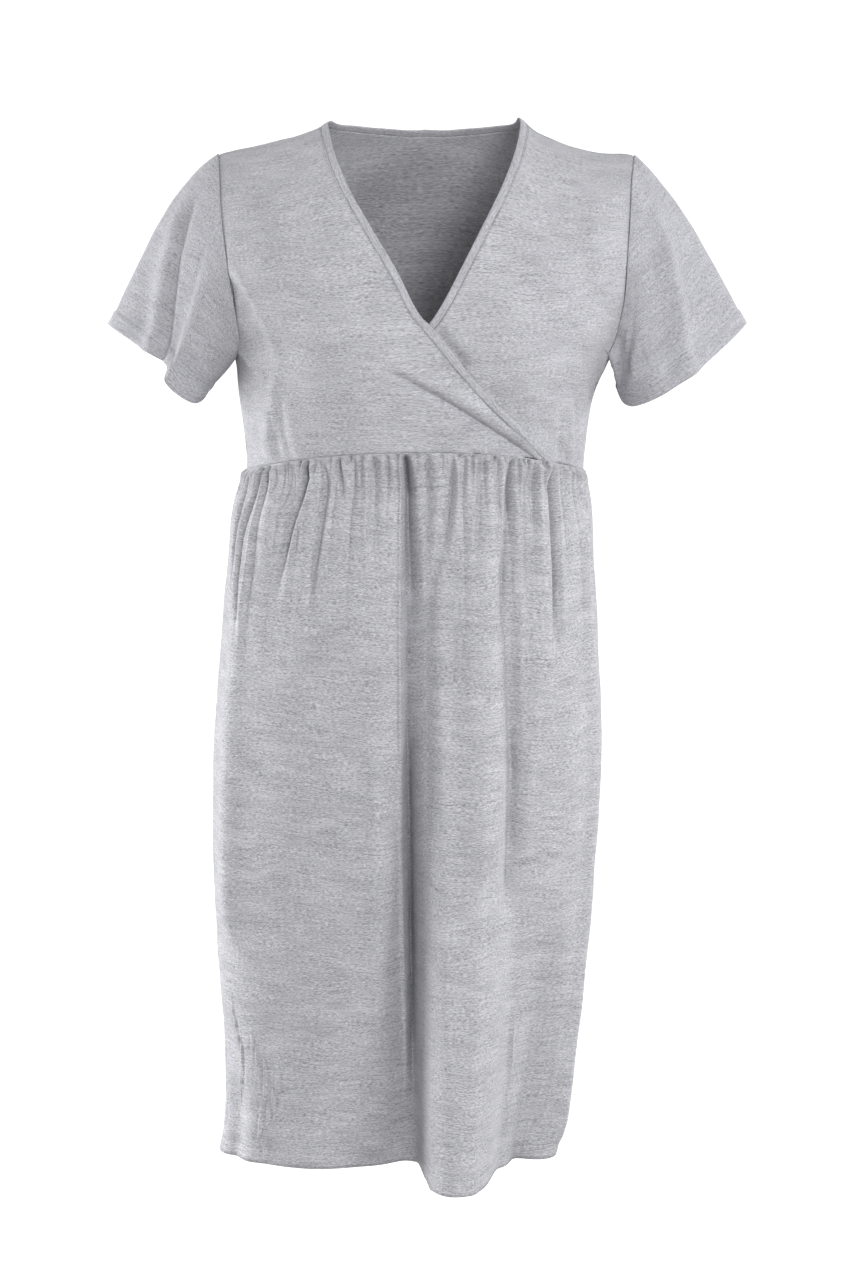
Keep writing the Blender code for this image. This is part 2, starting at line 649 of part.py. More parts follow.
def make_bodice(right_mitre, left_mitre):
    over, back, under = neckline()
    edge = np.vstack([over, back, under])
    tangents = np.gradient(form(*edge.T), axis=0)
    cut = beside(edge, tangents, BAND_WIDTH + SEAM_GAP)
    cut_over = cut[:len(over)]
    cut_under = cut[-len(under):][::-1]
    cut_back = cut[len(over):-len(under)]
    cut_over[-1, 1] = SHOULDER_FALL
    cut_under[-1, 1] = SHOULDER_FALL

    side = side_edge(-1, behind=False)
    cut_over = above_seam(cut_over)
    bottom = bodice_bottom(side[0, 0], cut_over[0, 0])
    top = shoulder_edge(side[-1, 0], cut_over[-1, 0], FRONT_COLUMNS)
    places = patch(bottom, top, side, cut_over)
    make_bodice_panel("bodice_front_right", places, {0: right_mitre[False]}, level_with_form)

    side = side_edge(1, behind=False)
    cut_under = above_seam(cut_under)
    bottom = bodice_bottom(cut_under[0, 0], side[0, 0])
    top = shoulder_edge(cut_under[-1, 0], side[-1, 0], FRONT_COLUMNS)
    places = patch(bottom, top, cut_under, side)
    make_bodice_panel("bodice_front_left", places, {-1: left_mitre[False]}, recess)

    left = side_edge(1, behind=True)
    right = side_edge(-1, behind=True)
    left_shoulder = shoulder_edge(left[-1, 0], np.pi - cut_under[-1, 0], SHOULDER_COLUMNS)
    right_shoulder = shoulder_edge(np.pi - cut_over[-1, 0], right[-1, 0], SHOULDER_COLUMNS)
    top = np.vstack([left_shoulder, cut_back[::-1], right_shoulder])
    turn = np.linspace(left[0, 0], right[0, 0], len(top))
    bottom = np.stack([turn, fall_at(turn, seam_height(turn) + SEAM_GAP / 2)], -1)
    places = patch(bottom, top, left, right)
    mitres = {0: left_mitre[True], -1: right_mitre[True]}
    make_bodice_panel("bodice_back", places, mitres, level_with_form)


def make_neck_band():
    """One narrow band along the whole free edge, crossing in front of itself at the V."""
    over, back, under = neckline()
    edge = np.vstack([over, back, under])
    tangents = np.gradient(form(*edge.T), axis=0)
    sunk = np.zeros(len(edge))
    sunk[-len(under):] = recess(*under.T)
    outer = []
    inner = []
    for share, proud in ((0, BAND_PROUD), (0.5, BAND_CROWN), (1, BAND_PROUD)):
        places = above_seam(beside(edge, tangents, share * BAND_WIDTH))
        normals = outward(form, *places.T)
        points = form(*places.T) - normals * sunk[:, None]
        outer.append(points + normals * proud)
        inner.append(points + normals * (BAND_PROUD - BAND_CLOTH))
    wall("neck_band", np.vstack(outer), np.vstack(inner), [len(edge)] * 3)


def make_skirt(name, first, last):
    """A skirt panel between two gathers. The columns follow the gathers, halved further down."""
    starts = gather_turns()
    number = np.linspace(first, last, (last - first) * COLUMNS_PER_GATHER + 1)
    fine = np.interp(number, np.arange(len(starts)), starts)
    outer = []
    inner = []
    counts = []
    for share in SKIRT_COARSE_ROWS[::-1] + SKIRT_FINE_ROWS[::-1]:
        turn = (fine[::2] if share in SKIRT_COARSE_ROWS else fine).copy()
        top = seam_height(turn) - SEAM_GAP / 2
        fall = fall_at(turn, HEM_Z + (top - HEM_Z) * share)
        turn[[0, -1]] += seam_turn(turn[[0, -1]], fall[[0, -1]]) * (1, -1)
        points = skirt(turn, fall)
        normals = outward(skirt, turn, fall)
        if share == 1.0:
            normals = outward(form, turn, fall)
        thick = CLOTH if share > SKIRT_HEM_SHARE else HEM_CLOTH
        outer.append(points)
        inner.append(points - normals * thick)
        counts.append(len(turn))
    wall(name, np.vstack(outer), np.vstack(inner), counts)


def clear_scene():
    for thing in list(bpy.data.objects):
        bpy.data.objects.remove(thing, do_unlink=True)
    group = bpy.data.collections.new("jersey_dress")
    bpy.context.scene.collection.children.link(group)


def main():
    clear_scene()
    right_mitre = make_sleeve("sleeve_right", -1)
    left_mitre = make_sleeve("sleeve_left", 1)
    make_bodice(right_mitre, left_mitre)
    make_neck_band()
    gathers = len(GATHERS_FRONT) - 1
    make_skirt("skirt_front", 0, gathers)
    make_skirt("skirt_back", gathers, gathers + GATHERS_BACK)


main()
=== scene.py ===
"""The looks of a short-sleeved heather grey jersey dress: crossover V neck, empire seam and
gathered skirt, in the form it has when worn.

Every piece is a thin shell of cloth on the form of its solid. A place on the form is a turn and
a fall: the turn goes round from centre front towards the wearer's left, and the fall goes down
from the shoulder line. X runs to the wearer's left, -Y is the front, +Z is up, in metres.
"""

import bmesh
import bpy
import numpy as np
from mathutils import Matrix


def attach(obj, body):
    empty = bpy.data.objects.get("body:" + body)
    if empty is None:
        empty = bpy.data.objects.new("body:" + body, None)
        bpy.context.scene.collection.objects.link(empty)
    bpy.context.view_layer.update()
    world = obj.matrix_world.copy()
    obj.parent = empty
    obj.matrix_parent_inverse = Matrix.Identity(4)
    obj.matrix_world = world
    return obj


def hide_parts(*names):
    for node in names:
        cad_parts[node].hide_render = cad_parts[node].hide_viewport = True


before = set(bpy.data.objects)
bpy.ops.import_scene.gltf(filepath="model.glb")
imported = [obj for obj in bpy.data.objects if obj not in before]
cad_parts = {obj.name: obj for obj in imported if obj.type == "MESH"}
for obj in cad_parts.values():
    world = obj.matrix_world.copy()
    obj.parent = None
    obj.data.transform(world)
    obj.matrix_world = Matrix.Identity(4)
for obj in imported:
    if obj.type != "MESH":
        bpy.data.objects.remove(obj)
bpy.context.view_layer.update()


def table(names, rows):
    """A table's columns, each under its name."""
    return dict(zip(names.split(), np.array(rows).T))


# Cloth, in metres
CLOTH = 0.0009
HEM_CLOTH = 0.0020
SLEEVE_HEM = 0.013
SKIRT_HEM = 0.015
BAND_WIDTH = 0.0070
BAND_CLOTH = 0.0017
BAND_PROUD = 0.0004
UNDER_PANEL = "bodice_front_left"
LAP_RECESS = 0.0027
LAP_MARGIN = 0.018
LAP_RAMP = 0.020
SEAM_SINK = 0.0004
SEAM_ROLL = 0.0014
STITCH_SINK = 0.00035
STITCH_PULL = 0.0014
STITCH_PITCH = 0.0031
STITCH_LENGTH = 0.0023
THREAD = 0.00055
STITCH_RINGS = 5
STITCH_SIDES = 6
BAND_STITCH = 0.0017
BAND_SQUARE = 0.4
STITCH_TAPER = 0.9

# The cut, in metres from the high shoulder points
HEM_Z = -0.965
SEAM_SIDE_Z = -0.311
SEAM_FRONT_RISE = 0.027
SEAM_ARCH = 1.5
UNDERARM_Z = -0.207
SHOULDER_TIP = 0.188
SHOULDER_ROUND = 0.12
SHOULDER_HALF_WIDTH = 0.214
SHOULDER_FADE = 2.2
SIDE_TURN = np.radians(84)
BACK_SIDE_TURN = 2 * np.pi - SIDE_TURN
SQUARE = 0.85
METRES_PER_TURN = 0.125
BUST_OUT = 0.078
BUST_Z = -0.190
BUST_ROUND = 0.052
BUST_RISE = 0.009
BUST_SIDE = 4

# The form at each height: its half-widths to each side, its depth to the front and back, and how
# flat each half is (1 is round)
SECTIONS = table("z right left front back front_flat back_flat", [
    (-0.98, 0.201, 0.122, 0.066, 0.1, 0.72, 0.8),
    (-0.93, 0.193, 0.13, 0.07, 0.102, 0.73, 0.8),
    (-0.85, 0.192, 0.14, 0.08, 0.106, 0.75, 0.8),
    (-0.76, 0.197, 0.15, 0.092, 0.11, 0.77, 0.8),
    (-0.66, 0.2, 0.158, 0.104, 0.114, 0.79, 0.8),
    (-0.57, 0.198, 0.163, 0.113, 0.114, 0.8, 0.8),
    (-0.48, 0.191, 0.159, 0.118, 0.108, 0.8, 0.8),
    (-0.39, 0.182, 0.153, 0.119, 0.097, 0.8, 0.8),
    (-0.345, 0.175, 0.149, 0.118, 0.09, 0.8, 0.8),
    (-0.312, 0.165, 0.144, 0.114, 0.083, 0.8, 0.8),
    (-0.285, 0.166, 0.146, 0.118, 0.084, 0.8, 0.8),
    (-0.245, 0.171, 0.152, 0.122, 0.088, 0.8, 0.8),
    (-0.207, 0.175, 0.168, 0.122, 0.092, 0.8, 0.8),
    (-0.15, 0.194, 0.192, 0.114, 0.092, 0.8, 0.8),
    (-0.1, 0.206, 0.204, 0.102, 0.088, 0.8, 0.8),
    (-0.03, 0.213, 0.213, 0.085, 0.08, 0.8, 0.8),
    (0.04, 0.215, 0.215, 0.075, 0.075, 0.8, 0.8),
])

# Height of the shoulder line at each distance from the middle, on each side
RIDGE = table("x right left", [
    (0, 0.03, 0.03),
    (0.05, 0.022, 0.022),
    (0.075, 0.012, 0.012),
    (0.0875, 0.004, 0.004),
    (0.097, -0.002, -0.004),
    (0.113, -0.008, -0.012),
    (0.132, -0.013, -0.019),
    (0.157, -0.019, -0.0245),
    (0.188, -0.026, -0.027),
    (0.22, -0.04, -0.04),
])

# Armhole edge: distance from the middle at each height, front and back, each side
ARMHOLE = table("z right_front left_front right_back left_back", [
    (-0.202, 0.17, 0.1645, 0.1745, 0.169),
    (-0.195, 0.168, 0.168, 0.1762, 0.172),
    (-0.17, 0.17, 0.1745, 0.1785, 0.178),
    (-0.126, 0.177, 0.179, 0.1815, 0.183),
    (-0.066, 0.184, 0.1825, 0.1855, 0.1855),
])

# Free edges of the crossed neckline, from the empire seam up to the shoulder
NECK = table("z over_x under_x", [
    (-0.297, 0.117, -0.113),
    (-0.28, 0.102, -0.096),
    (-0.264, 0.086, -0.079),
    (-0.24, 0.062, -0.053),
    (-0.2095, 0.0345, -0.026),
    (-0.167, -0.0015, 0.004),
    (-0.124, -0.026, 0.029),
    (-0.083, -0.051, 0.0505),
    (-0.056, -0.067, 0.0645),
    (-0.028, -0.08, 0.0765),
    (-0.0035, -0.0875, 0.0835),
    (0.004, -0.0895, 0.0845),
])

# Free edge of the back neck between the two shoulders
BACK_NECK = table("x z", [
    (-0.07, -0.0005),
    (-0.04, -0.0035),
    (0, -0.0045),
    (0.04, -0.0035),
    (0.07, -0.0005),
])

# Each cuff, round from the underarm past the front, the outer tip and the back
CUFFS = {
    "sleeve_right": table("around x y z", [
        (0, -0.203, -0.005, -0.243),
        (0.1, -0.2135, -0.036, -0.247),
        (0.2, -0.234, -0.056, -0.228),
        (0.27, -0.233, -0.042, -0.215),
        (0.36, -0.253, -0.022, -0.203),
        (0.5, -0.291, 0.02, -0.182),
        (0.64, -0.275, 0.05, -0.191),
        (0.78, -0.24, 0.06, -0.209),
        (0.9, -0.206, 0.04, -0.231),
    ]),
    "sleeve_left": table("around x y z", [
        (0, 0.179, -0.008, -0.243),
        (0.1, 0.188, -0.038, -0.25),
        (0.2, 0.214, -0.054, -0.238),
        (0.27, 0.233, -0.048, -0.226),
        (0.36, 0.258, -0.028, -0.208),
        (0.5, 0.292, 0.016, -0.181),
        (0.64, 0.277, 0.048, -0.19),
        (0.78, 0.239, 0.058, -0.21),
        (0.9, 0.2, 0.038, -0.233),
    ]),
}
SLEEVE_SLOPE = (0.5, 0.0, -0.866)
SLEEVE_HEAD_REACH = 0.9
SLEEVE_LEAN = {"sleeve_right": 0.72, "sleeve_left": 0.45}
SLEEVE_CUFF_REACH = 0.8

# Folds of the skirt: the turn at the top and low down, the height at the top and low down, the
# width to the right and to the left, and the rise at the top and low down. Turns and widths are in
# degrees, and a rise below zero is a trough
SKIRT_FOLDS = (
    (-3, -2.5, -0.285, -0.99, 5, 4.5, -0.008, -0.014),
    (14.5, 14, -0.285, -0.64, 7, 6, 0.007, 0.01),
    (27, 24, -0.3, -0.68, 2.6, 3.4, -0.004, -0.009),
    (35, 31, -0.285, -0.52, 1.8, 2.2, -0.005, -0.003),
    (46.5, 45, -0.285, -0.44, 1.4, 2.2, -0.006, -0.004),
    (6.2, 1.9, -0.285, -0.385, 1.2, 1.6, -0.004, -0.003),
    (-40, -43, -0.285, -0.395, 2.2, 1.8, -0.005, -0.003),
    (-31, -31, -0.285, -0.4, 1.6, 1.8, -0.004, -0.003),
    (-62, -64, -0.33, -0.72, 7, 7, 0.005, 0.008),
    (66, 74, -0.33, -0.93, 5, 6, 0.005, 0.008),
    (-7, -5, -0.68, -0.99, 14, 6, 0, -0.02),
    (43, 46, -0.7, -0.99, 11, 16, 0, -0.026),
    (-70, -70, -0.8, -0.99, 13, 12, 0, -0.014),
    (-50, -47, -0.8, -0.99, 9, 9, 0, -0.006),
    (112, 109, -0.29, -0.7, 7, 7, -0.007, -0.003),
    (131, 134, -0.285, -0.99, 8, 9, 0.005, 0.02),
    (155, 152, -0.285, -0.99, 7, 8, -0.006, -0.014),
    (176, 178, -0.285, -0.99, 8, 9, 0.006, 0.016),
    (203, 201, -0.285, -0.99, 7, 7, -0.007, -0.012),
    (226, 222, -0.285, -0.99, 9, 8, 0.005, 0.022),
    (251, 254, -0.29, -0.72, 7, 7, -0.006, -0.003),
)
FOLD_FADE = 0.040
FOLD_START = 0.024

# The wide flute that grows down the front: where its two walls begin and how wide they are, in
# degrees of turn, and how far it stands out at its lowest
FLUTE_RIGHT = -3.0
FLUTE_RIGHT_LOW = -1.4
FLUTE_RIGHT_WALL = 4.4
FLUTE_RIGHT_WALL_LOW = 2.2
FLUTE_LEFT = 13.0
FLUTE_LEFT_WALL = 17.0
FLUTE_TOP_Z = -0.500
FLUTE_LOW_Z = -0.990
FLUTE_RISE = 0.076
FLUTE_CROWN = 0.12
FLUTE_CROWN_TURN = 8.0

# Creases of the skirt: the turn at the top, in the middle and low down, the height at the top and
# low down, the width to the right and to the left, and the depth at the top and low down. Turns
# and widths are in degrees, and a depth below zero is a ridge
SKIRT_CREASES = (
    (-74.1, -72, -72.4, -0.3, -0.43, 1.2, 1.7, 0.006, 0.004),
    (-66, -67.5, -67, -0.3, -0.345, 0.9, 1.1, 0.004, 0.002),
    (-59.7, -64, -60.6, -0.298, -0.47, 1.7, 1.2, 0.009, 0.005),
    (-57.4, -58.3, -60.3, -0.301, -0.48, 1.2, 1.2, -0.003, -0.002),
    (-51, -50.4, -51.5, -0.297, -0.33, 0.9, 1, 0.0045, 0.0025),
    (-43.5, -44.5, -46.5, -0.296, -0.345, 0.9, 0.9, 0.0045, 0.0025),
    (-36.2, -39.3, -43.3, -0.296, -0.4, 1.4, 0.9, 0.0095, 0.006),
    (-32.8, -34.5, -36.4, -0.294, -0.316, 0.8, 0.9, 0.004, 0.003),
    (-29, -28.6, -31.2, -0.306, -0.408, 1, 0.8, 0.005, 0.0055),
    (-24.2, -23.4, -22.4, -0.289, -0.328, 0.7, 0.8, 0.0075, 0.005),
    (-14.8, -14.2, -12.9, -0.289, -0.43, 0.8, 1.2, -0.0014, -0.001),
    (-13.2, -12.7, -11.4, -0.286, -0.4, 0.8, 2, 0.0065, 0.003),
    (-5.2, -4.4, -3.6, -0.286, -0.33, 0.6, 0.8, 0.005, 0.003),
    (-4.4, -3.4, -2.5, -0.286, -0.44, 0.6, 0.9, 0.0075, 0.008),
    (-4.3, -3.3, -2.4, -0.33, -0.93, 0.5, 2.6, 0.011, 0.027),
    (-3, -2.5, -2.4, -0.6, -0.985, 2.8, 1, 0.013, 0.007),
    (6.7, 5.6, 1.9, -0.284, -0.385, 0.7, 0.9, 0.007, 0.0035),
    (10.5, 10.2, 9.5, -0.286, -0.318, 0.7, 0.8, 0.005, 0.003),
    (15.5, 14.6, 12.1, -0.289, -0.39, 0.8, 1.4, 0.0065, 0.0035),
    (27.9, 24, 22.4, -0.294, -0.45, 1.1, 1.8, 0.01, 0.007),
    (22, 24.6, 23.6, -0.4, -0.7, 2.2, 2.8, 0.005, 0.006),
    (38, 37, 36.3, -0.297, -0.37, 0.8, 1, 0.007, 0.0035),
    (43.6, 43.2, 43, -0.299, -0.322, 0.8, 0.8, 0.004, 0.002),
    (48.1, 46, 46.3, -0.3, -0.47, 0.9, 1.6, 0.0085, 0.004),
    (58, 58.6, 59, -0.302, -0.325, 0.8, 1, 0.004, 0.002),
    (66, 65.4, 64, -0.305, -0.37, 1.1, 1.3, 0.004, 0.002),
    (72.5, 74, 69, -0.31, -0.47, 1.6, 1.6, -0.003, -0.003),
    (24.8, 25.8, 25, -0.545, -0.595, 0.8, 0.8, 0.002, 0.002),
    (-68.8, -66.5, -63.8, -0.815, -0.868, 0.7, 0.7, -0.0018, -0.002),
    (-63.8, -66, -73, -0.858, -0.915, 0.6, 0.6, -0.0018, -0.0014),
    (-43.2, -47, -53.1, -0.878, -0.932, 0.6, 0.7, -0.0022, -0.0022),
    (-50, -50.5, -53.5, -0.868, -0.925, 0.5, 0.6, -0.0016, -0.0018),
    (-53.1, -50, -46, -0.922, -0.966, 0.6, 0.6, -0.002, -0.002),
    (-56.5, -53, -52, -0.84, -0.89, 0.5, 0.6, -0.0014, -0.0014),
    (31.2, 31.5, 31.9, -0.83, -0.872, 0.8, 0.8, -0.0018, -0.0018),
    (48.8, 50.5, 52.3, -0.838, -0.874, 0.8, 0.8, -0.0018, -0.0018),
    (61.5, 61, 59.9, -0.85, -0.91, 0.9, 0.9, -0.002, -0.002),
    (51.4, 50.8, 50.2, -0.935, -0.962, 0.8, 0.8, -0.0016, -0.0016),
    (17.4, 19.8, 20.2, -0.76, -0.94, 1.4, 1.4, -0.0014, -0.0014),
    (98, 97, 95.5, -0.3, -0.4, 1.4, 1.6, 0.006, 0.003),
    (107, 109.5, 110, -0.304, -0.42, 1.2, 1.7, 0.0075, 0.005),
    (121, 122.5, 121, -0.306, -0.36, 0.9, 1.2, 0.005, 0.003),
    (137, 136, 138.5, -0.308, -0.45, 1.6, 1.2, 0.008, 0.005),
    (147, 147.5, 148, -0.31, -0.345, 0.9, 1, 0.005, 0.003),
    (160, 158.5, 157.5, -0.31, -0.41, 1.1, 1.5, 0.0065, 0.004),
    (171, 171.5, 173, -0.311, -0.37, 0.9, 1.2, 0.005, 0.003),
    (184, 185, 184, -0.311, -0.48, 1.4, 1.7, 0.008, 0.006),
    (195, 194.5, 193, -0.31, -0.35, 0.9, 1, 0.005, 0.0025),
    (210, 211.5, 213, -0.309, -0.43, 1.4, 1.1, 0.008, 0.005),
    (221, 220.5, 219, -0.307, -0.36, 1, 1.1, 0.005, 0.003),
    (236, 237.5, 239, -0.305, -0.41, 1.1, 1.6, 0.0065, 0.004),
    (250, 249, 247.5, -0.302, -0.44, 1.2, 1.5, 0.0075, 0.0045),
    (262, 263.5, 264, -0.3, -0.39, 1.1, 1.4, 0.0055, 0.003),
    (142, 144, 141, -0.8, -0.94, 3, 2.4, -0.0016, -0.002),
    (189, 186, 190, -0.76, -0.92, 3.2, 2.2, -0.0014, -0.0018),
    (243, 247, 244, -0.82, -0.95, 2.6, 3.2, -0.0018, -0.002),
)
CREASE_SHARP = 1.4
CREASE_BANK = 0.22
CREASE_BANK_OUT = 2.4
CREASE_END = 0.18

# Puckers right under the seam: the turn of each in degrees. Their lengths and depths are uneven
PUCKERS = (
    -79, -70, -63, -56.8, -48, -45.6, -39.7, -33.6, -27.4, -20.5, -16.9, -9.5, -6.5, -1.9, 0.1,
    3.4, 8.6, 12.8, 19.4, 20.9, 24.9, 31, 33.2, 35.5, 40.6, 42.8, 45.1, 52, 55, 61.5, 68.3,
    77, 83, 90, 94, 103, 113, 117, 126, 131, 142, 152, 155, 165, 176, 180, 189, 200, 205, 216,
    226, 230, 243, 257, 268, 273,
)
PUCKER_DEPTH = 0.0052
PUCKER_LENGTH = 0.019
PUCKER_WIDTH = 0.75
PUCKER_UNEVEN = 0.5
PUCKER_STEP = 1.9
PUCKER_START = 0.003

# Gathers of the skirt: where each begins, in degrees of turn, across the front
GATHERS_FRONT = (
    -84, -77, -69, -62, -56, -47, -42, -37, -31, -25, -19, -13.5, -9, -4.5,
    0, 5, 9.5, 13, 17, 22, 26.5, 31, 36, 44, 53, 62, 69, 77, 84,
)
GATHERS_BACK = 26
GATHER_UNEVEN = 0.28
GATHER_UNEVEN_STEP = 2.3
GATHER_RISE = 0.070
GATHER_START = 0.007
GATHER_REACH = 0.046
GATHER_REACH_CHANGE = 0.6
GATHER_SIDE = 0.4
GATHER_REACH_STEP = 2.1
GATHER_ROUND = 0.8

# Creases of the bodice: x and z at the start, x and z at the end, the line's bend to one side, the
# width, and the rise at the start and at the end
BODICE_CREASES = {
    "bodice_front_right": (
        (-0.042, -0.197, 0.108, -0.288, 0.004, 0.008, 0.0014, 0.0062),
        (-0.043, -0.2065, 0.102, -0.298, 0.004, 0.003, -0.0026, -0.0082),
        (0.05, -0.265, 0.106, -0.2995, 0.001, 0.0016, -0.003, -0.006),
        (0.034, -0.262, 0.086, -0.29, 0.001, 0.002, -0.0008, -0.003),
        (0.014, -0.272, 0.05, -0.289, 0.001, 0.0022, -0.0004, -0.0012),
        (-0.178, -0.116, -0.129, -0.207, 0.0035, 0.0046, 0.0022, 0.0034),
        (-0.178, -0.132, -0.143, -0.206, 0.003, 0.008, -0.002, -0.003),
        (-0.174, -0.192, -0.138, -0.225, -0.002, 0.0036, 0.002, 0.003),
        (-0.129, -0.204, -0.143, -0.3, -0.003, 0.0055, 0.0034, 0.003),
        (-0.156, -0.228, -0.147, -0.3, -0.003, 0.0044, -0.0012, -0.0018),
        (-0.139, -0.236, -0.128, -0.302, -0.003, 0.003, -0.001, -0.0014),
        (-0.131, -0.222, -0.117, -0.302, -0.004, 0.0034, -0.0008, -0.0012),
        (-0.123, -0.232, -0.108, -0.302, -0.004, 0.0042, 0.0007, 0.0008),
        (-0.16, -0.222, -0.163, -0.3, 0.001, 0.0028, -0.001, -0.0014),
        (-0.128, -0.06, -0.15, -0.13, 0.004, 0.011, 0.001, 0.0018),
        (-0.108, -0.12, -0.124, -0.185, -0.003, 0.005, -0.0004, -0.001),
        (-0.092, -0.15, -0.108, -0.215, -0.003, 0.008, 0.0008, 0.0012),
    ),
    "bodice_front_left": (
        (0.005, -0.171, 0.037, -0.21, 0, 0.0046, -0.005, -0.0055),
        (0.055, -0.226, 0.064, -0.238, 0, 0.003, -0.0024, -0.0024),
        (0.1275, -0.236, 0.13, -0.304, 0.001, 0.003, 0.0022, 0.003),
        (0.132, -0.236, 0.1335, -0.304, 0.001, 0.0016, -0.0016, -0.0024),
        (0.143, -0.215, 0.136, -0.304, 0.001, 0.004, 0.0024, 0.003),
        (0.119, -0.246, 0.121, -0.304, 0, 0.002, -0.001, -0.0018),
        (0.155, -0.212, 0.152, -0.29, 0.001, 0.0028, -0.0012, -0.0016),
        (0.168, -0.186, 0.12, -0.216, -0.004, 0.005, 0.002, 0.0004),
        (0.06, -0.206, 0.104, -0.262, -0.004, 0.006, 0.0008, 0.0016),
        (0.072, -0.196, 0.118, -0.236, -0.003, 0.0034, -0.0003, -0.0008),
        (0.15, -0.06, 0.16, -0.13, -0.004, 0.01, 0.001, 0.0016),
        (0.136, -0.07, 0.146, -0.15, -0.003, 0.006, -0.0006, -0.001),
        (0.1, -0.13, 0.122, -0.19, 0.003, 0.008, 0.0006, 0.001),
    ),
    "bodice_back": (
        (-0.135, -0.215, -0.12, -0.3, 0.002, 0.014, 0.003, 0.0035),
        (-0.05, -0.225, -0.042, -0.3, 0.002, 0.014, 0.0015, 0.0025),
        (0.06, -0.22, 0.048, -0.3, -0.002, 0.014, 0.002, 0.003),
        (0.138, -0.21, 0.118, -0.3, -0.002, 0.014, 0.003, 0.0035),
        (-0.165, -0.17, -0.11, -0.225, 0.006, 0.006, -0.0012, -0.0008),
        (0.165, -0.168, 0.108, -0.22, -0.006, 0.006, -0.0012, -0.0008),
        (-0.09, -0.268, 0.02, -0.282, 0.004, 0.007, 0.0006, 0.0014),
        (-0.02, -0.262, 0.085, -0.27, -0.003, 0.007, 0.0014, 0.0006),
    ),
}

# Metres of cloth for one radian of turn, for the grain of the bodice
GRAIN_TURN = 0.17

# Creases of the sleeves: their place round the cuff and the head, how far up they begin and end
# (0 is the cuff and 1 is the head), their width round the sleeve, and their rise at each end
SLEEVE_CREASES = {
    "sleeve_right": (
        (0.308, 0.385, -0.3, 0.92, 0.014, 0.0036, 0.0024),
        (0.352, 0.435, -0.3, 0.88, 0.028, -0.0054, -0.0024),
        (0.15, 0.2, 0.2, 0.8, 0.03, -0.0014, -0.001),
        (0.23, 0.27, 0.3, 0.95, 0.016, 0.001, 0.0012),
        (0.44, 0.46, 0.1, 0.7, 0.03, 0.0006, 0.0006),
        (0.62, 0.6, 0, 0.8, 0.025, -0.003, -0.0014),
        (0.7, 0.7, 0.1, 0.9, 0.02, 0.002, 0.001),
        (0.84, 0.8, -0.3, 0.7, 0.022, -0.0024, -0.0012),
    ),
    "sleeve_left": (
        (0.284, 0.37, -0.2, 0.86, 0.027, -0.0074, -0.004),
        (0.225, 0.3, -0.2, 0.9, 0.02, 0.0016, 0.001),
        (0.33, 0.4, 0.16, 0.44, 0.01, 0.0024, 0.0016),
        (0.372, 0.4, 0.22, 0.48, 0.008, 0.0016, 0.0016),
        (0.3, 0.3, 0.24, 0.4, 0.008, 0.0014, 0.0014),
        (0.11, 0.16, 0.1, 0.7, 0.026, -0.003, -0.0018),
        (0.15, 0.09, 0.16, 0.62, 0.007, -0.0018, -0.0014),
        (0.215, 0.12, 0.1, 0.56, 0.006, -0.0014, -0.0016),
        (0.25, 0.19, 0.3, 0.6, 0.006, 0.0012, 0.0012),
        (0.43, 0.45, 0.3, 0.9, 0.016, 0.0016, 0.0012),
        (0.61, 0.6, 0, 0.8, 0.025, -0.0028, -0.0014),
        (0.7, 0.72, 0.1, 0.9, 0.02, 0.002, 0.001),
        (0.83, 0.8, -0.3, 0.7, 0.022, -0.0024, -0.0012),
    ),
}
SLEEVE_CREASE_END = 0.25
SLEEVE_SEAM_FADE = 0.01

# The soft unevenness of the cloth: its pitch and its height
BODICE_RIPPLE = (0.034, 0.0003)
SLEEVE_RIPPLE = (0.045, 0.0005)
SKIRT_RIPPLE = (0.052, 0.0006)
SLEEVE_RIPPLE_START = 0.02

# Grid of each piece
SIDE_ROWS = 40
ARMHOLE_ROWS = 90
FRONT_COLUMNS = 150
SHOULDER_COLUMNS = 60
BACK_NECK_STEPS = 100
BAND_POINTS = 14
SLEEVE_ROWS = 90
SLEEVE_COLUMNS = 170
COLUMNS_PER_GATHER = 20
SKIRT_ROWS = 76
SKIRT_ROWS_CROWD = 1.7
SKIRT_HEM_ROWS = (0, 0.004, 0.009, 0.012, 0.0136, 0.015, 0.0164, 0.018, 0.022)
BEND_FADE = 2
NUDGE = 0.001
MOST_FALL = 10
HALVINGS = 34
CURVE_STEPS = 6

# What the knit takes and gives
KNIT_SOCKETS = (
    ("INPUT", "Place", "Vector"),
    ("INPUT", "Dark Fibre", "Color"),
    ("INPUT", "Pale Fibre", "Color"),
    ("INPUT", "Contrast", "Float"),
    ("OUTPUT", "Color", "Color"),
    ("OUTPUT", "Height", "Float"),
)

# The knit's fibres, in layers: how many to a metre across and up, the detail and the roughness of
# their pattern, and their share of the colour
FIBRES = {
    "streak": (260, 1250, 3.0, 0.66, 1.7),
    "band": (36, 700, 2.0, 0.6, 0.8),
    "cloud": (22, 60, 1.0, 0.5, 0.3),
    "fibre": (420, 2300, 1.0, 0.5, 1.0),
}

# How far the fibres wander, the size of the loops in metres, and what each adds to the bump
WANDER = 0.014
WANDER_SCALE = (18, 26, 0)
LOOP_WIDE = 0.0011
LOOP_TALL = 0.0009
LOOP_SLANT = 0.9
LOOP_RISE = 0.25
WALE_RISE = 0.18
STREAK_RISE = 1.4
BAND_RISE = 1.2

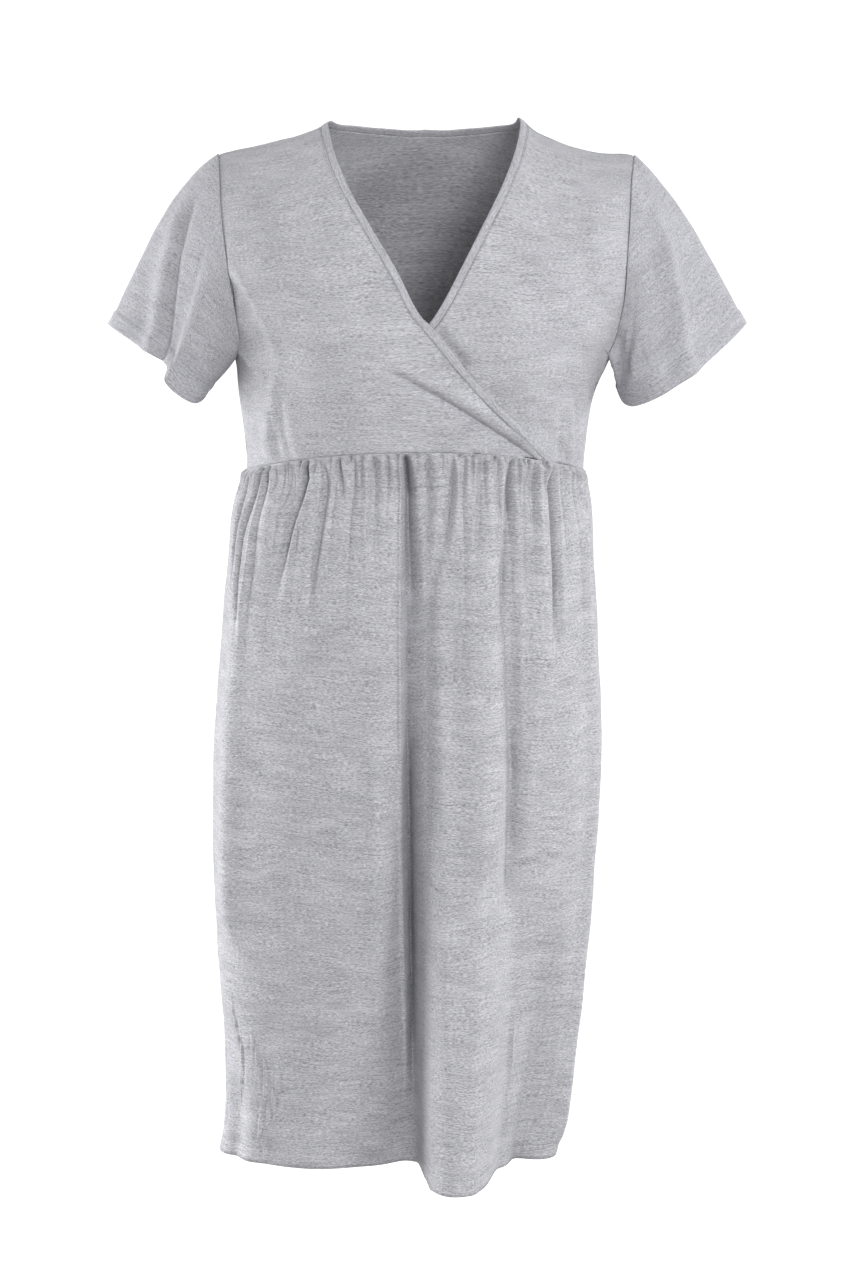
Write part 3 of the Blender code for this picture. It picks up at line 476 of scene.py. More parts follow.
# Each jersey's dark fibre, pale fibre and contrast, and what they have in common. The sleeves are
# the same cloth as the bodice, with their fibres painted darker as painted shade
JERSEYS = {
    "bodice_jersey": ((0.225, 0.225, 0.245), (0.59, 0.59, 0.625), 0.95),
    "skirt_jersey": ((0.225, 0.225, 0.245), (0.585, 0.585, 0.615), 1.15),
    # Painted shade: the sleeve jersey is the bodice's cloth made darker, standing in for the shade
    # on the sleeves
    "sleeve_jersey_painted_shade": ((0.195, 0.195, 0.213), (0.53, 0.53, 0.565), 0.9),
    "band_jersey": ((0.235, 0.235, 0.255), (0.56, 0.56, 0.595), 0.9),
}
JERSEY_FINISH = {
    "Roughness": 0.93,
    "Specular IOR Level": 0.18,
    "Sheen Weight": 0.25,
    "Sheen Roughness": 0.45,
    "Sheen Tint": (0.95, 0.95, 1.0, 1),
}
THREAD_FINISH = {"Roughness": 0.75, "Specular IOR Level": 0.3}
THREAD_TWIST = 0.0006
THREAD_DARK = (0.20, 0.20, 0.22, 1)
THREAD_PALE = (0.34, 0.34, 0.365, 1)
THREAD_PLAIN = (0.3, 0.3, 0.32, 1)
FLOOR_FINISH = {
    "Base Color": (0.3, 0.3, 0.3, 1),
    "Roughness": 1.0,
    "Specular IOR Level": 0.0,
    "Emission Color": (1, 1, 1, 1),
    "Emission Strength": 0.95,
}

# Depth of the bump in metres, and its strength
JERSEY_BUMP = (0.00022, 0.8)
THREAD_BUMP = (0.00005, 1.0)

# The camera: it stands level with the chest and looks a little down
CAMERA_PLACE = (0, -3.0, 0.0566)
CAMERA_PITCH = np.radians(80)
LENS_MM = 92.25
SENSOR_MM = 36

# The sky's strength level with the horizon, and what it gains straight up. The floor, in metres
SKY = 0.47
SKY_RISE = 0.26
FLOOR_Z = -1.47
FLOOR_RADIUS = 5.5
FLOOR_ROUND = 1.6
WALL_HEIGHT = 8.0
FLOOR_SIDES = 64
FLOOR_ARC_STEPS = 24

# Each light's place, power, width and height. All face the middle of the dress
DRESS_MIDDLE = (0, 0, -0.4)
LIGHTS = (
    ("key", (1.1, -4.3, 0.8), 98, 1.2, 1.2),
    ("side", (3.5, -3.1, 0.5), 68, 1.0, 1.0),
    ("fill", (-1.6, -3.6, -1.0), 22, 1.4, 1.4),
    ("edge_right", (-1.7, 0.46, -0.6), 44, 0.6, 1.4),
    ("edge_left", (1.7, 0.42, -0.4), 18, 0.6, 1.0),
)


def smooth(at, knots, values):
    """Cubic Hermite curve through the knots, each slope taken from the two neighbours."""
    slopes = np.gradient(values, knots)
    at = np.clip(at, knots[0], knots[-1])
    low = np.clip(np.searchsorted(knots, at) - 1, 0, len(knots) - 2)
    step = knots[low + 1] - knots[low]
    f = (at - knots[low]) / step
    ends = values[low] * (1 + 2 * f) * (1 - f) ** 2 + values[low + 1] * f * f * (3 - 2 * f)
    return ends + step * f * (1 - f) * (slopes[low] * (1 - f) - slopes[low + 1] * f)


def read(columns, name, at):
    """One column of a table, read smoothly at any value of its first column."""
    return smooth(at, next(iter(columns.values())), columns[name])


def ease(f):
    """0 below 0, 1 above 1, and a smooth S between."""
    f = np.clip(f, 0, 1)
    return f * f * (3 - 2 * f)


def change(start, end, f):
    """A straight change from a start to an end."""
    return start + (end - start) * f


def unit(vectors):
    """The same directions with a length of 1."""
    return vectors / np.linalg.norm(vectors, axis=-1, keepdims=True)


def along(points, count):
    """count points spaced evenly, by length, on a smooth curve through the given points."""
    run = np.r_[0, np.cumsum(np.linalg.norm(np.diff(points, axis=0), axis=1))]
    fine = np.linspace(0, run[-1], CURVE_STEPS * count)
    curve = np.stack([smooth(fine, run, axis) for axis in points.T], -1)
    run = np.r_[0, np.cumsum(np.linalg.norm(np.diff(curve, axis=0), axis=1))]
    at = np.linspace(0, run[-1], count)
    return np.stack([np.interp(at, run, axis) for axis in curve.T], -1)


def patch(bottom, top, first, last):
    """A grid between four edges. The bends of its side edges die out towards the middle."""
    s = np.linspace(0, 1, len(bottom))[None, :, None]
    t = np.linspace(0, 1, len(first))[:, None]
    rows = (1 - t[:, None]) * bottom + t[:, None] * top
    first_bend = (first - (1 - t) * first[0] - t * first[-1])[:, None]
    last_bend = (last - (1 - t) * last[0] - t * last[-1])[:, None]
    return rows + first_bend * (1 - s) ** BEND_FADE + last_bend * s ** BEND_FADE


def on_side(turn, columns, at):
    """A table's right column where the turn is to the right, and its left column elsewhere."""
    return np.where(np.sin(turn) < 0, read(columns, "right", at), read(columns, "left", at))


def height_at(turn, fall):
    """The fall follows a quarter circle over the shoulder, and then goes straight down. Far from
    the shoulder line, the same fall is the same height all round."""
    quarter = np.pi / 2
    down = np.where(fall < quarter, 1 - np.cos(fall), 1 + fall - quarter)
    shoulder = on_side(turn, RIDGE, SHOULDER_HALF_WIDTH * np.abs(np.sin(turn)) ** SQUARE)
    return shoulder * (1 - ease(fall / SHOULDER_FADE)) - SHOULDER_ROUND * down


def fall_at(turn, z):
    """The fall at which that turn reaches a height, found by halving."""
    low = np.zeros(np.broadcast(turn, z).shape)
    high = low + MOST_FALL
    for _ in range(HALVINGS):
        middle = (low + high) / 2
        too_high = height_at(turn, middle) > z
        low = np.where(too_high, middle, low)
        high = np.where(too_high, high, middle)
    return low


def turn_at(x, z, behind=False):
    """The turn at which the form has that x, on its front or its back."""
    half_width = on_side(np.sign(x), SECTIONS, z)
    turn = np.sign(x) * np.arcsin(np.clip(np.abs(x) / half_width, 0, 1) ** (1 / SQUARE))
    return np.pi - turn if behind else turn


def place(x, z, behind=False):
    """The place on the form, front or back, that has an x and a height."""
    turn = turn_at(x, z, behind)
    return np.stack([turn, fall_at(turn, z)], -1)


def form(turn, fall):
    """A point of the worn form: rounded sections, closing over the shoulders, with a full bust."""
    z = height_at(turn, fall)
    across = np.sin(turn)
    ahead = np.cos(turn)
    x = on_side(turn, SECTIONS, z) * np.sign(across) * np.abs(across) ** SQUARE
    front = read(SECTIONS, "front", z) * np.abs(ahead) ** read(SECTIONS, "front_flat", z)
    back = read(SECTIONS, "back", z) * np.abs(ahead) ** read(SECTIONS, "back_flat", z)
    from_bust = (np.abs(x) - BUST_OUT) ** 2 + (z - BUST_Z) ** 2
    bust = BUST_RISE * np.exp(-from_bust / BUST_ROUND ** 2)
    front = front + bust * np.clip(BUST_SIDE * ahead, 0, 1)
    y = np.where(ahead > 0, -front, back) * np.sin(np.minimum(fall, np.pi / 2))
    return np.stack([x, y, z], -1)


def slopes_at(turn, fall):
    """How a point of the form moves as its turn and its fall grow, by central differences."""
    turning = (form(turn + NUDGE, fall) - form(turn - NUDGE, fall)) / (2 * NUDGE)
    falling = (form(turn, fall + NUDGE) - form(turn, fall - NUDGE)) / (2 * NUDGE)
    return turning, falling


def outward(turn, fall):
    """The direction out of the form, square to both of its slopes."""
    turning, falling = slopes_at(turn, fall)
    return unit(np.cross(falling, turning))


def seam_height(turn):
    """Height of the empire seam, which arches up over the front."""
    return SEAM_SIDE_Z + SEAM_FRONT_RISE * np.clip(np.cos(turn), 0, 1) ** SEAM_ARCH


def above_seam(places):
    """The same places, with any that lie below the bodice's bottom edge lifted to it."""
    lowest = fall_at(places[..., 0], seam_height(places[..., 0]))
    return np.stack([places[..., 0], np.minimum(places[..., 1], lowest)], -1)


def beside(places, tangents, distance):
    """Places moved along the form, square to a line that has those tangents, to its right. The
    steps in turn and fall are those whose move along the form is nearest the one aimed at."""
    turn, fall = places.T
    turning, falling = slopes_at(turn, fall)
    aim = distance * unit(np.cross(unit(np.cross(falling, turning)), tangents))
    a = (turning * turning).sum(-1)
    b = (turning * falling).sum(-1)
    c = (falling * falling).sum(-1)
    p = (turning * aim).sum(-1)
    q = (falling * aim).sum(-1)
    steps = np.stack([c * p - b * q, a * q - b * p], -1) / (a * c - b * b)[:, None]
    return places + steps


def neckline():
    """Places along the free edge: up the over panel, round the back and down the under panel."""
    count = SIDE_ROWS + ARMHOLE_ROWS + 1
    over = along(place(NECK["over_x"], NECK["z"]), count)
    under = along(place(NECK["under_x"], NECK["z"]), count)
    start = (np.pi - over[-1, 0], 0)
    end = (np.pi - under[-1, 0], 0)
    back = np.vstack([start, place(BACK_NECK["x"], BACK_NECK["z"], behind=True), end])
    back = along(back, BACK_NECK_STEPS + 1)
    return over, back[1:-1], under[::-1]


def edge_tangents(edge):
    """The direction of an edge at each of its places."""
    return np.gradient(form(*edge.T), axis=0)


def recess(turn, fall):
    """How far the under panel lies below the form: fully under the over panel, then less."""
    z = height_at(turn, fall)
    beyond = (turn - turn_at(read(NECK, "over_x", z), z)) * METRES_PER_TURN
    return LAP_RECESS * (1 - ease((beyond - LAP_MARGIN) / LAP_RAMP))


def side_turn(side, behind):
    """Turn of the side seam, counted up from centre front on a back panel."""
    return BACK_SIDE_TURN if behind and side < 0 else side * SIDE_TURN


def armhole(side, behind, count):
    """Places up one half of an armhole, from the underarm to the shoulder tip."""
    name = "right" if side < 0 else "left"
    tip = turn_at(side * SHOULDER_TIP, read(RIDGE, name, SHOULDER_TIP))
    x = side * ARMHOLE[name + ("_back" if behind else "_front")]
    underarm = side_turn(side, behind)
    start = (underarm, fall_at(underarm, UNDERARM_Z))
    end = (np.pi - tip if behind else tip, 0)
    return along(np.vstack([start, place(x, ARMHOLE["z"], behind), end]), count)


def side_edge(side, behind):
    """Places up a panel's side seam and its half of the armhole."""
    turn = side_turn(side, behind)
    z = np.linspace(seam_height(turn), UNDERARM_Z, SIDE_ROWS + 1)
    seam = np.stack([np.full(len(z), turn), fall_at(turn, z)], -1)
    return np.vstack([seam, armhole(side, behind, ARMHOLE_ROWS + 1)[1:]])


def bodice_bottom(start, end, count):
    """Places along the empire seam between two turns."""
    turn = np.linspace(start, end, count)
    return np.stack([turn, fall_at(turn, seam_height(turn))], -1)


def shoulder_edge(start, end, count):
    """Places along the shoulder line between two turns."""
    return np.stack([np.linspace(start, end, count + 1), np.zeros(count + 1)], -1)


def degrees_from(turn, line):
    """Degrees of turn from a line, the short way round."""
    return (np.degrees(turn) - line + 180) % 360 - 180


def bodice_crease_rise(name, points):
    """Height of a bodice panel's creases. Each lies on a line with a sideways bend of
    bend * 4f(1 - f), and has a bell-shaped cross-section that dies out at both ends."""
    rise = np.zeros(points.shape[:-1])
    for x_start, z_start, x_end, z_end, bend, width, rise_start, rise_end in BODICE_CREASES[name]:
        run = np.array([x_end, z_end]) - (x_start, z_start)
        length = np.linalg.norm(run)
        offset = points[..., [0, 2]] - (x_start, z_start)
        f = (offset @ run) / length ** 2
        away = (offset @ np.array([-run[1], run[0]])) / length - bend * 4 * f * (1 - f)
        ends = ease(f / CREASE_END) * ease((1 - f) / CREASE_END)
        rise = rise + change(rise_start, rise_end, f) * ends * np.exp(-(away / width) ** 2)
    return rise


def skirt_fold_rise(turn, z):
    """Height of the skirt's folds. Each follows a leaning line, with its own width on each side."""
    rise = np.zeros(np.broadcast(turn, z).shape)
    for turn_top, turn_low, z_top, z_low, right, left, rise_top, rise_low in SKIRT_FOLDS:
        f = (z_top - z) / (z_top - z_low)
        away = degrees_from(turn, change(turn_top, turn_low, f))
        height = change(rise_top, rise_low, np.clip(f, 0, 1)) * ease((z_top - z) / FOLD_FADE)
        height = height * ease((z - z_low) / FOLD_FADE + 1)
        rise = rise + height * np.exp(-(away / np.where(away < 0, right, left)) ** 2)
    return rise


def flute_rise(turn, z):
    """A broad fold with a low crown, a steep wall on its right and a soft one on its left."""
    degrees = degrees_from(turn, 0)
    f = np.clip((FLUTE_TOP_Z - z) / (FLUTE_TOP_Z - FLUTE_LOW_Z), 0, 1)
    right = change(FLUTE_RIGHT, FLUTE_RIGHT_LOW, f ** 2)
    walls = ease((degrees - right) / change(FLUTE_RIGHT_WALL, FLUTE_RIGHT_WALL_LOW, f ** 2))
    walls = walls * (1 - ease((degrees - FLUTE_LEFT) / FLUTE_LEFT_WALL))
    from_crown = np.clip((degrees - FLUTE_CROWN_TURN) / FLUTE_CROWN_TURN, -1, 1)
    walls = walls * (1 - FLUTE_CROWN * from_crown ** 2)
    return FLUTE_RISE * walls * f * ease((FLUTE_TOP_Z - z) / FOLD_FADE)


def skirt_crease_rise(turn, z):
    """Depth of the skirt's creases. Each is a narrow valley with a low bank on both sides, on a
    line bent through three turns. It is nothing at the seam, and dies out at its lower end."""
    rise = np.zeros(np.broadcast(turn, z).shape)
    for crease in SKIRT_CREASES:
        turn_top, turn_middle, turn_low, z_top, z_low, right, left, depth_top, depth_low = crease
        f = (z_top - z) / (z_top - z_low)
        bend = turn_middle - (turn_top + turn_low) / 2
        away = degrees_from(turn, change(turn_top, turn_low, f) + bend * 4 * f * (1 - f))
        away = np.abs(away) / np.where(away < 0, right, left)
        valley = np.exp(-away ** CREASE_SHARP)
        bank = CREASE_BANK * np.exp(-(away - CREASE_BANK_OUT) ** 2)
        ends = ease(f / CREASE_END + 1) * ease((1 - f) / (2 * CREASE_END))
        rise = rise - change(depth_top, depth_low, f) * ends * (valley - bank)
    return rise * ease((seam_height(turn) - z) / GATHER_START)


def pucker_rise(turn, z):
    """Depth of the short puckers right under the seam."""
    below = np.clip(seam_height(turn) - z, 0, None)
    rise = np.zeros(np.broadcast(turn, z).shape)
    for count, line in enumerate(PUCKERS):
        uneven = 1 + PUCKER_UNEVEN * np.sin(PUCKER_STEP * count)
        fade = ease(below / PUCKER_START) * np.exp(-(below / (PUCKER_LENGTH * uneven)) ** 2)
        away = np.abs(degrees_from(turn, line)) / PUCKER_WIDTH
        rise = rise - PUCKER_DEPTH * (2 - uneven) * fade * np.exp(-away ** CREASE_SHARP)
    return rise


def sleeve_crease_rise(name, around, up):
    """Height of a sleeve's creases, which lean from the cuff to the head."""
    rise = np.zeros(np.broadcast(around, up).shape)
    for cuff, head, up_start, up_end, width, rise_cuff, rise_head in SLEEVE_CREASES[name]:
        away = (around - change(cuff, head, up) + 0.5) % 1 - 0.5
        ends = ease((up - up_start) / SLEEVE_CREASE_END) * ease((up_end - up) / SLEEVE_CREASE_END)
        rise = rise + change(rise_cuff, rise_head, up) * ends * np.exp(-(away / width) ** 2)
    return rise


def gather_turns():
    """The turn at which each gather begins, all round."""
    count = np.arange(1, GATHERS_BACK)
    uneven = GATHER_UNEVEN * np.sin(GATHER_UNEVEN_STEP * count)
    back = SIDE_TURN + (BACK_SIDE_TURN - SIDE_TURN) * (count + uneven) / GATHERS_BACK
    return np.r_[np.radians(GATHERS_FRONT), back, BACK_SIDE_TURN]


def gather_rise(turn, z):
    """Height of the gathers: a rounded swell for each, with a sharp valley between two."""
    starts = gather_turns()
    turn = (turn - starts[0]) % (2 * np.pi) + starts[0]
    number = np.interp(turn, starts, np.arange(len(starts)))
    which = np.clip(number.astype(int), 0, len(starts) - 2)
    below = np.clip(seam_height(turn) - z, 0, None)
    reach = GATHER_REACH * (1 + GATHER_REACH_CHANGE * np.sin(GATHER_REACH_STEP * which))
    size = GATHER_RISE * np.diff(starts)[which] * ease(below / GATHER_START)
    size = size * np.exp(-below / reach)
    size = size * (GATHER_SIDE + (1 - GATHER_SIDE) * np.abs(np.cos(turn)))
    return size * np.abs(np.sin(np.pi * number)) ** GATHER_ROUND


def wave(ahead, across, pitch, bend, bend_pitch):
    """A wave of that pitch, bent from side to side by a second one that crosses it."""
    return np.sin(2 * np.pi * ahead / pitch + bend * np.sin(2 * np.pi * across / bend_pitch))


def ripple(u, v, pitch, height):
    """A soft unevenness: three waves that cross each other, each with its own slant and pitch."""
    waves = wave(u + 0.31 * v, v, pitch, 1.3, 2.7 * pitch)
    waves = waves + wave(0.43 * u - v, u, 1.7 * pitch, 1.1, 3.1 * pitch)
    waves = waves + 0.5 * wave(u - 0.22 * v, v, 0.61 * pitch, 2.0, 1.9 * pitch)
    return height * waves / 2.5


def lengths(points, axis):
    """Distance along the grid's lines from its first row or column, and from its last."""
    steps = np.linalg.norm(np.diff(points, axis=axis), axis=-1)
    start = np.zeros_like(steps.take([0], axis))
    ahead = np.concatenate([start, steps.cumsum(axis)], axis)
    return ahead, ahead.take([-1], axis) - ahead


def roll_in(distance):
    """How far cloth rolls in beside a seam."""
    return SEAM_SINK * np.exp(-(distance / SEAM_ROLL) ** 2)


def stitch_line(distance, at):
    """How far a line of stitches pulls the cloth in."""
    return STITCH_SINK * np.exp(-((distance - at) / STITCH_PULL) ** 2)


def grid_normals(points, closed=False):
    """The direction out of a grid, square to its rows and its columns."""
    if closed:
        turning = np.roll(points, -1, axis=1) - np.roll(points, 1, axis=1)
    else:
        turning = np.gradient(points, axis=1)
    return unit(np.cross(turning, np.gradient(points, axis=0)))


def numbers(rows, columns, closed=False):
    """The number of each point of a grid. A closed one has its first column again at the end."""
    index = np.arange(rows * columns).reshape(rows, columns)
    return np.hstack([index, index[:, :1]]) if closed else index


def cells(index):
    """The four corners of each square of a grid of numbers."""
    corners = [index[:-1, :-1], index[:-1, 1:], index[1:, 1:], index[1:, :-1]]
    return np.stack(corners, -1).reshape(-1, 4)


def rims(index, closed, inside):
    """The squares that join the free edges of an outer grid to the inner grid, whose numbers are
    those of the outer one plus the given number."""
    paths = [index[0], index[-1, ::-1]]
    if not closed:
        paths += [index[:, -1], index[::-1, 0]]
    ends = [(path[:-1], path[1:]) for path in paths]
    return np.vstack([np.stack([b, a, a + inside, b + inside], -1) for a, b in ends])


def make_mesh(name, points, faces, material, corners_uv=None):
    mesh = bpy.data.meshes.new(name)
    mesh.from_pydata(points.reshape(-1, 3).tolist(), [], faces.tolist())
    if corners_uv is not None:
        mesh.uv_layers.new(name="cloth").uv.foreach_set("vector", corners_uv.ravel())
    mesh.shade_smooth()
    mesh.materials.append(material)
    piece = bpy.data.objects.new(name, mesh)
    bpy.context.scene.collection.objects.link(piece)
    return piece


def shell(name, outer, thick, material, closed=False, grain=None):
    """A thin wall of cloth: the outer grid, the same grid moved in by the cloth's thickness, and
    the rims between them. Its UV map is in metres: the grain, or else the length along the rows
    and the columns."""
    inner = outer - grid_normals(outer, closed) * thick
    wide = np.concatenate([outer, outer[:, :1]], 1) if closed else outer
    if grain is None:
        u = lengths(wide, 1)[0]
        grain = np.stack([u - u[:, [wide.shape[1] // 2]], lengths(wide, 0)[0]], -1)
    inside = outer.shape[0] * outer.shape[1]
    index = numbers(*outer.shape[:2], closed)
    faces = np.vstack([cells(index), cells(index)[:, ::-1] + inside, rims(index, closed, inside)])
    index = numbers(*wide.shape[:2])
    corners = np.vstack([cells(index), cells(index)[:, ::-1], rims(index, closed, 0)])
    uv = grain.reshape(-1, 2)[corners]
    return make_mesh(name, np.concatenate([outer, inner]), faces, material, uv)


def dress_piece(piece, solid):
    """Attaches a finished piece of cloth to the root, and hides its solid."""
    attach(piece, "root")
    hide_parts(solid)


def line_at(points, distance, at):
    """The line across a grid where the distance down its rows reaches a value."""
    row = np.clip((distance < at).sum(0), 1, len(points) - 1)[None]
    low = np.take_along_axis(distance, row - 1, 0)
    high = np.take_along_axis(distance, row, 0)
    f = ((at - low) / (high - low))[..., None]
    before = np.take_along_axis(points, row[..., None] - 1, 0)
    after = np.take_along_axis(points, row[..., None], 0)
    return (before + (after - before) * f)[0]


def make_stitches(name, line, out, thread):
    """A row of stitches along a line on the cloth. Each is a short thread: rings round the line,
    whose radius follows half an ellipse from one end of the stitch to the other."""
    run = np.r_[0, np.cumsum(np.linalg.norm(np.diff(line, axis=0), axis=1))]
    count = int(run[-1] / STITCH_PITCH)
    middle = (np.arange(count) + 0.5) * run[-1] / count
    t = np.linspace(-1, 1, STITCH_RINGS)
    at = middle[:, None] + t * STITCH_LENGTH / 2
    centre = np.stack([np.interp(at, run, axis) for axis in line.T], -1)
    ahead = unit(centre[:, -1:] - centre[:, :1])
    lift = unit(np.stack([np.interp(at, run, axis) for axis in out.T], -1))
    level = unit(np.cross(ahead, lift))
    radius = (THREAD / 2 * np.sqrt(1 - STITCH_TAPER * t ** 2))[None, :, None, None]
    angle = np.linspace(0, 2 * np.pi, STITCH_SIDES, endpoint=False)[:, None]
    ring = np.cos(angle) * level[..., None, :] + np.sin(angle) * lift[..., None, :]
    points = centre[..., None, :] + radius * ring
    index = numbers(STITCH_RINGS, STITCH_SIDES)
    halves = np.array([(0, 1, 2, 3), (0, 3, 4, 5)])
    squares = cells(numbers(STITCH_RINGS, STITCH_SIDES, closed=True))
    faces = np.vstack([squares, index[0, ::-1][halves], index[-1][halves]])
    faces = (faces + np.arange(count)[:, None, None] * index.size).reshape(-1, 4)
    share = np.broadcast_to(t[None, :, None], points.shape[:3])
    uv = np.stack([at[..., None] + 0 * share, THREAD * share], -1).reshape(-1, 2)
    piece = make_mesh(name, points, faces, thread, uv[faces])
    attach(piece, "root")
    return piece


def hem_stitches(name, outer, from_hem, hem, closed, thread):
    """The row that holds a turned hem, at the hem's width from the free edge."""
    line = line_at(outer, from_hem, hem)
    out = line_at(grid_normals(outer, closed), from_hem, hem)
    if closed:
        line, out = (np.vstack([each, each[:1]]) for each in (line, out))
    return make_stitches(name + "_stitches", line, out, thread)


def node(tree, kind, inputs=(), **settings):
    """A shader node with its settings. An input is a socket to link, or a value."""
    made = tree.nodes.new(kind)
    for name, value in settings.items():
        setattr(made, name, value)
    for name, value in inputs:
        if isinstance(value, bpy.types.NodeSocket):
            tree.links.new(value, made.inputs[name])
        else:
            made.inputs[name].default_value = value
    return made


def multiply(tree, vector, by):
    inputs = [(0, vector), (1, by)]
    return node(tree, "ShaderNodeVectorMath", inputs, operation="MULTIPLY").outputs[0]


def calculate(tree, operation, a, b=0.0, c=0.0):
    inputs = [(0, a), (1, b), (2, c)]
    return node(tree, "ShaderNodeMath", inputs, operation=operation).outputs[0]


def noise(tree, vector, detail, roughness):
    inputs = [("Vector", vector), ("Scale", 1.0), ("Detail", detail), ("Roughness", roughness)]
    return node(tree, "ShaderNodeTexNoise", inputs, noise_dimensions="2D").outputs[0]


def blend(tree, share, dark, pale):
    inputs = [(0, share), (6, dark), (7, pale)]
    return node(tree, "ShaderNodeMix", inputs, data_type="RGBA").outputs[2]


def heather_knit():
    """Dark and pale fibres in short streaks along the knitted rows, over a fine knit. It takes a
    place on the cloth in metres, and gives a colour and a height."""
    tree = bpy.data.node_groups.new("heather_knit", "ShaderNodeTree")
    for way, name, kind in KNIT_SOCKETS:
        tree.interface.new_socket(name, in_out=way, socket_type="NodeSocket" + kind)
    given = tree.nodes.new("NodeGroupInput").outputs
    made = tree.nodes.new("NodeGroupOutput").inputs

    wander = noise(tree, multiply(tree, given["Place"], WANDER_SCALE), 2.0, 0.5)
    wander = calculate(tree, "MULTIPLY_ADD", wander, WANDER, -WANDER / 2)
    shift = node(tree, "ShaderNodeCombineXYZ", [("Y", wander)]).outputs[0]
    moved = node(tree, "ShaderNodeVectorMath", [(0, given["Place"]), (1, shift)]).outputs[0]
    layers = {}
    mix = 0.0
    for name, (across, up, detail, roughness, share) in FIBRES.items():
        layers[name] = noise(tree, multiply(tree, moved, (across, up, 0)), detail, roughness)
        mix = calculate(tree, "SUBTRACT", mix, share / 2)
        mix = calculate(tree, "MULTIPLY_ADD", layers[name], share, mix)
    mix = calculate(tree, "MULTIPLY_ADD", mix, given["Contrast"], 0.5)
    mix = node(tree, "ShaderNodeClamp", [("Value", mix)]).outputs[0]
    colour = blend(tree, mix, given["Dark Fibre"], given["Pale Fibre"])
    tree.links.new(colour, made["Color"])

    parts = node(tree, "ShaderNodeSeparateXYZ", [(0, given["Place"])]).outputs
    wale = calculate(tree, "SINE", calculate(tree, "MULTIPLY", parts["X"], 2 * np.pi / LOOP_WIDE))
    slant = calculate(tree, "MULTIPLY", calculate(tree, "ABSOLUTE", wale), LOOP_SLANT)
    course = calculate(tree, "MULTIPLY_ADD", parts["Y"], 2 * np.pi / LOOP_TALL, slant)
    height = calculate(tree, "MULTIPLY", wale, WALE_RISE)
    height = calculate(tree, "MULTIPLY_ADD", calculate(tree, "SINE", course), LOOP_RISE, height)
    height = calculate(tree, "MULTIPLY_ADD", layers["streak"], STREAK_RISE, height)
    height = calculate(tree, "MULTIPLY_ADD", layers["band"], BAND_RISE, height)
    tree.links.new(height, made["Height"])
    return tree


def new_material(name, finish):
    """A material with the finish set on its shader, its node tree, and the shader."""
    material = bpy.data.materials.new(name)
    material.use_nodes = True
    shader = material.node_tree.nodes["Principled BSDF"]
    for socket, value in finish.items():
        shader.inputs[socket].default_value = value
    return material, material.node_tree, shader


def surface(tree, shader, colour, height, distance, strength):
    """Joins a colour to the shader, and a height as a bump."""
    inputs = [("Height", height), ("Distance", distance), ("Strength", strength)]
    bump = node(tree, "ShaderNodeBump", inputs)
    tree.links.new(colour, shader.inputs["Base Color"])
    tree.links.new(bump.outputs[0], shader.inputs["Normal"])


def jersey(name, group):
    """Heather jersey: soft and matt, with a faint sheen of loose fibres."""
    dark, pale, contrast = JERSEYS[name]
    material, tree, shader = new_material(name, JERSEY_FINISH)
    knit = tree.nodes.new("ShaderNodeGroup")
    knit.node_tree = group
    tree.links.new(node(tree, "ShaderNodeUVMap", uv_map="cloth").outputs[0], knit.inputs["Place"])
    knit.inputs["Dark Fibre"].default_value = (*dark, 1)
    knit.inputs["Pale Fibre"].default_value = (*pale, 1)
    knit.inputs["Contrast"].default_value = contrast
    surface(tree, shader, knit.outputs["Color"], knit.outputs["Height"], *JERSEY_BUMP)
    material.diffuse_color = (*pale, 1)
    return material


def sewing_thread():
    """Grey thread, twisted: fine slanted bands of dark and pale along each stitch."""
    material, tree, shader = new_material("sewing_thread", THREAD_FINISH)
    along_thread = node(tree, "ShaderNodeUVMap", uv_map="cloth").outputs[0]
    parts = node(tree, "ShaderNodeSeparateXYZ", [(0, along_thread)]).outputs
    turns = calculate(tree, "ADD", parts["X"], parts["Y"])
    twist = calculate(tree, "SINE", calculate(tree, "MULTIPLY", turns, 2 * np.pi / THREAD_TWIST))
    share = calculate(tree, "MULTIPLY_ADD", twist, 0.5, 0.5)
    surface(tree, shader, blend(tree, share, THREAD_DARK, THREAD_PALE), twist, *THREAD_BUMP)
    material.diffuse_color = THREAD_PLAIN
    return material


def make_bodice_panel(name, row_name, places, band_edge, from_band, looks):
    """A panel on the form, with its creases, rolled in along its edges. from_band turns a grid so
    that its rows start at the panel's edge beside the neck band, where the stitches run. The
    looks are the materials of the cloth and of the thread."""
    material, thread = looks
    places = above_seam(places)
    turn = places[..., 0]
    fall = places[..., 1]
    points = form(turn, fall)
    edges = dict(zip(("first", "last", "low", "high"), (*lengths(points, 1), *lengths(points, 0))))
    rise = bodice_crease_rise(name, points)
    if name == UNDER_PANEL:
        rise = rise - recess(turn, fall)
    rise = rise + ripple(edges["first"], edges["low"], *BODICE_RIPPLE)
    for distance in edges.values():
        rise = rise - roll_in(distance)
    outer = points + outward(turn, fall) * rise[..., None]
    grain = np.stack([turn * GRAIN_TURN, fall * -SHOULDER_ROUND], -1)
    piece = shell(name + "_cloth", outer, CLOTH, material, grain=grain)
    rows = from_band(outer)
    line = line_at(rows, from_band(edges[band_edge]), BAND_STITCH)
    row = make_stitches(row_name, line, grid_normals(rows)[0], thread)
    dress_piece(piece, name)


def front_places(first, last):
    """Places over a front, between the edges at its two sides."""
    bottom = bodice_bottom(first[0, 0], last[0, 0], FRONT_COLUMNS + 1)
    top = shoulder_edge(first[-1, 0], last[-1, 0], FRONT_COLUMNS)
    return patch(bottom, top, first, last)


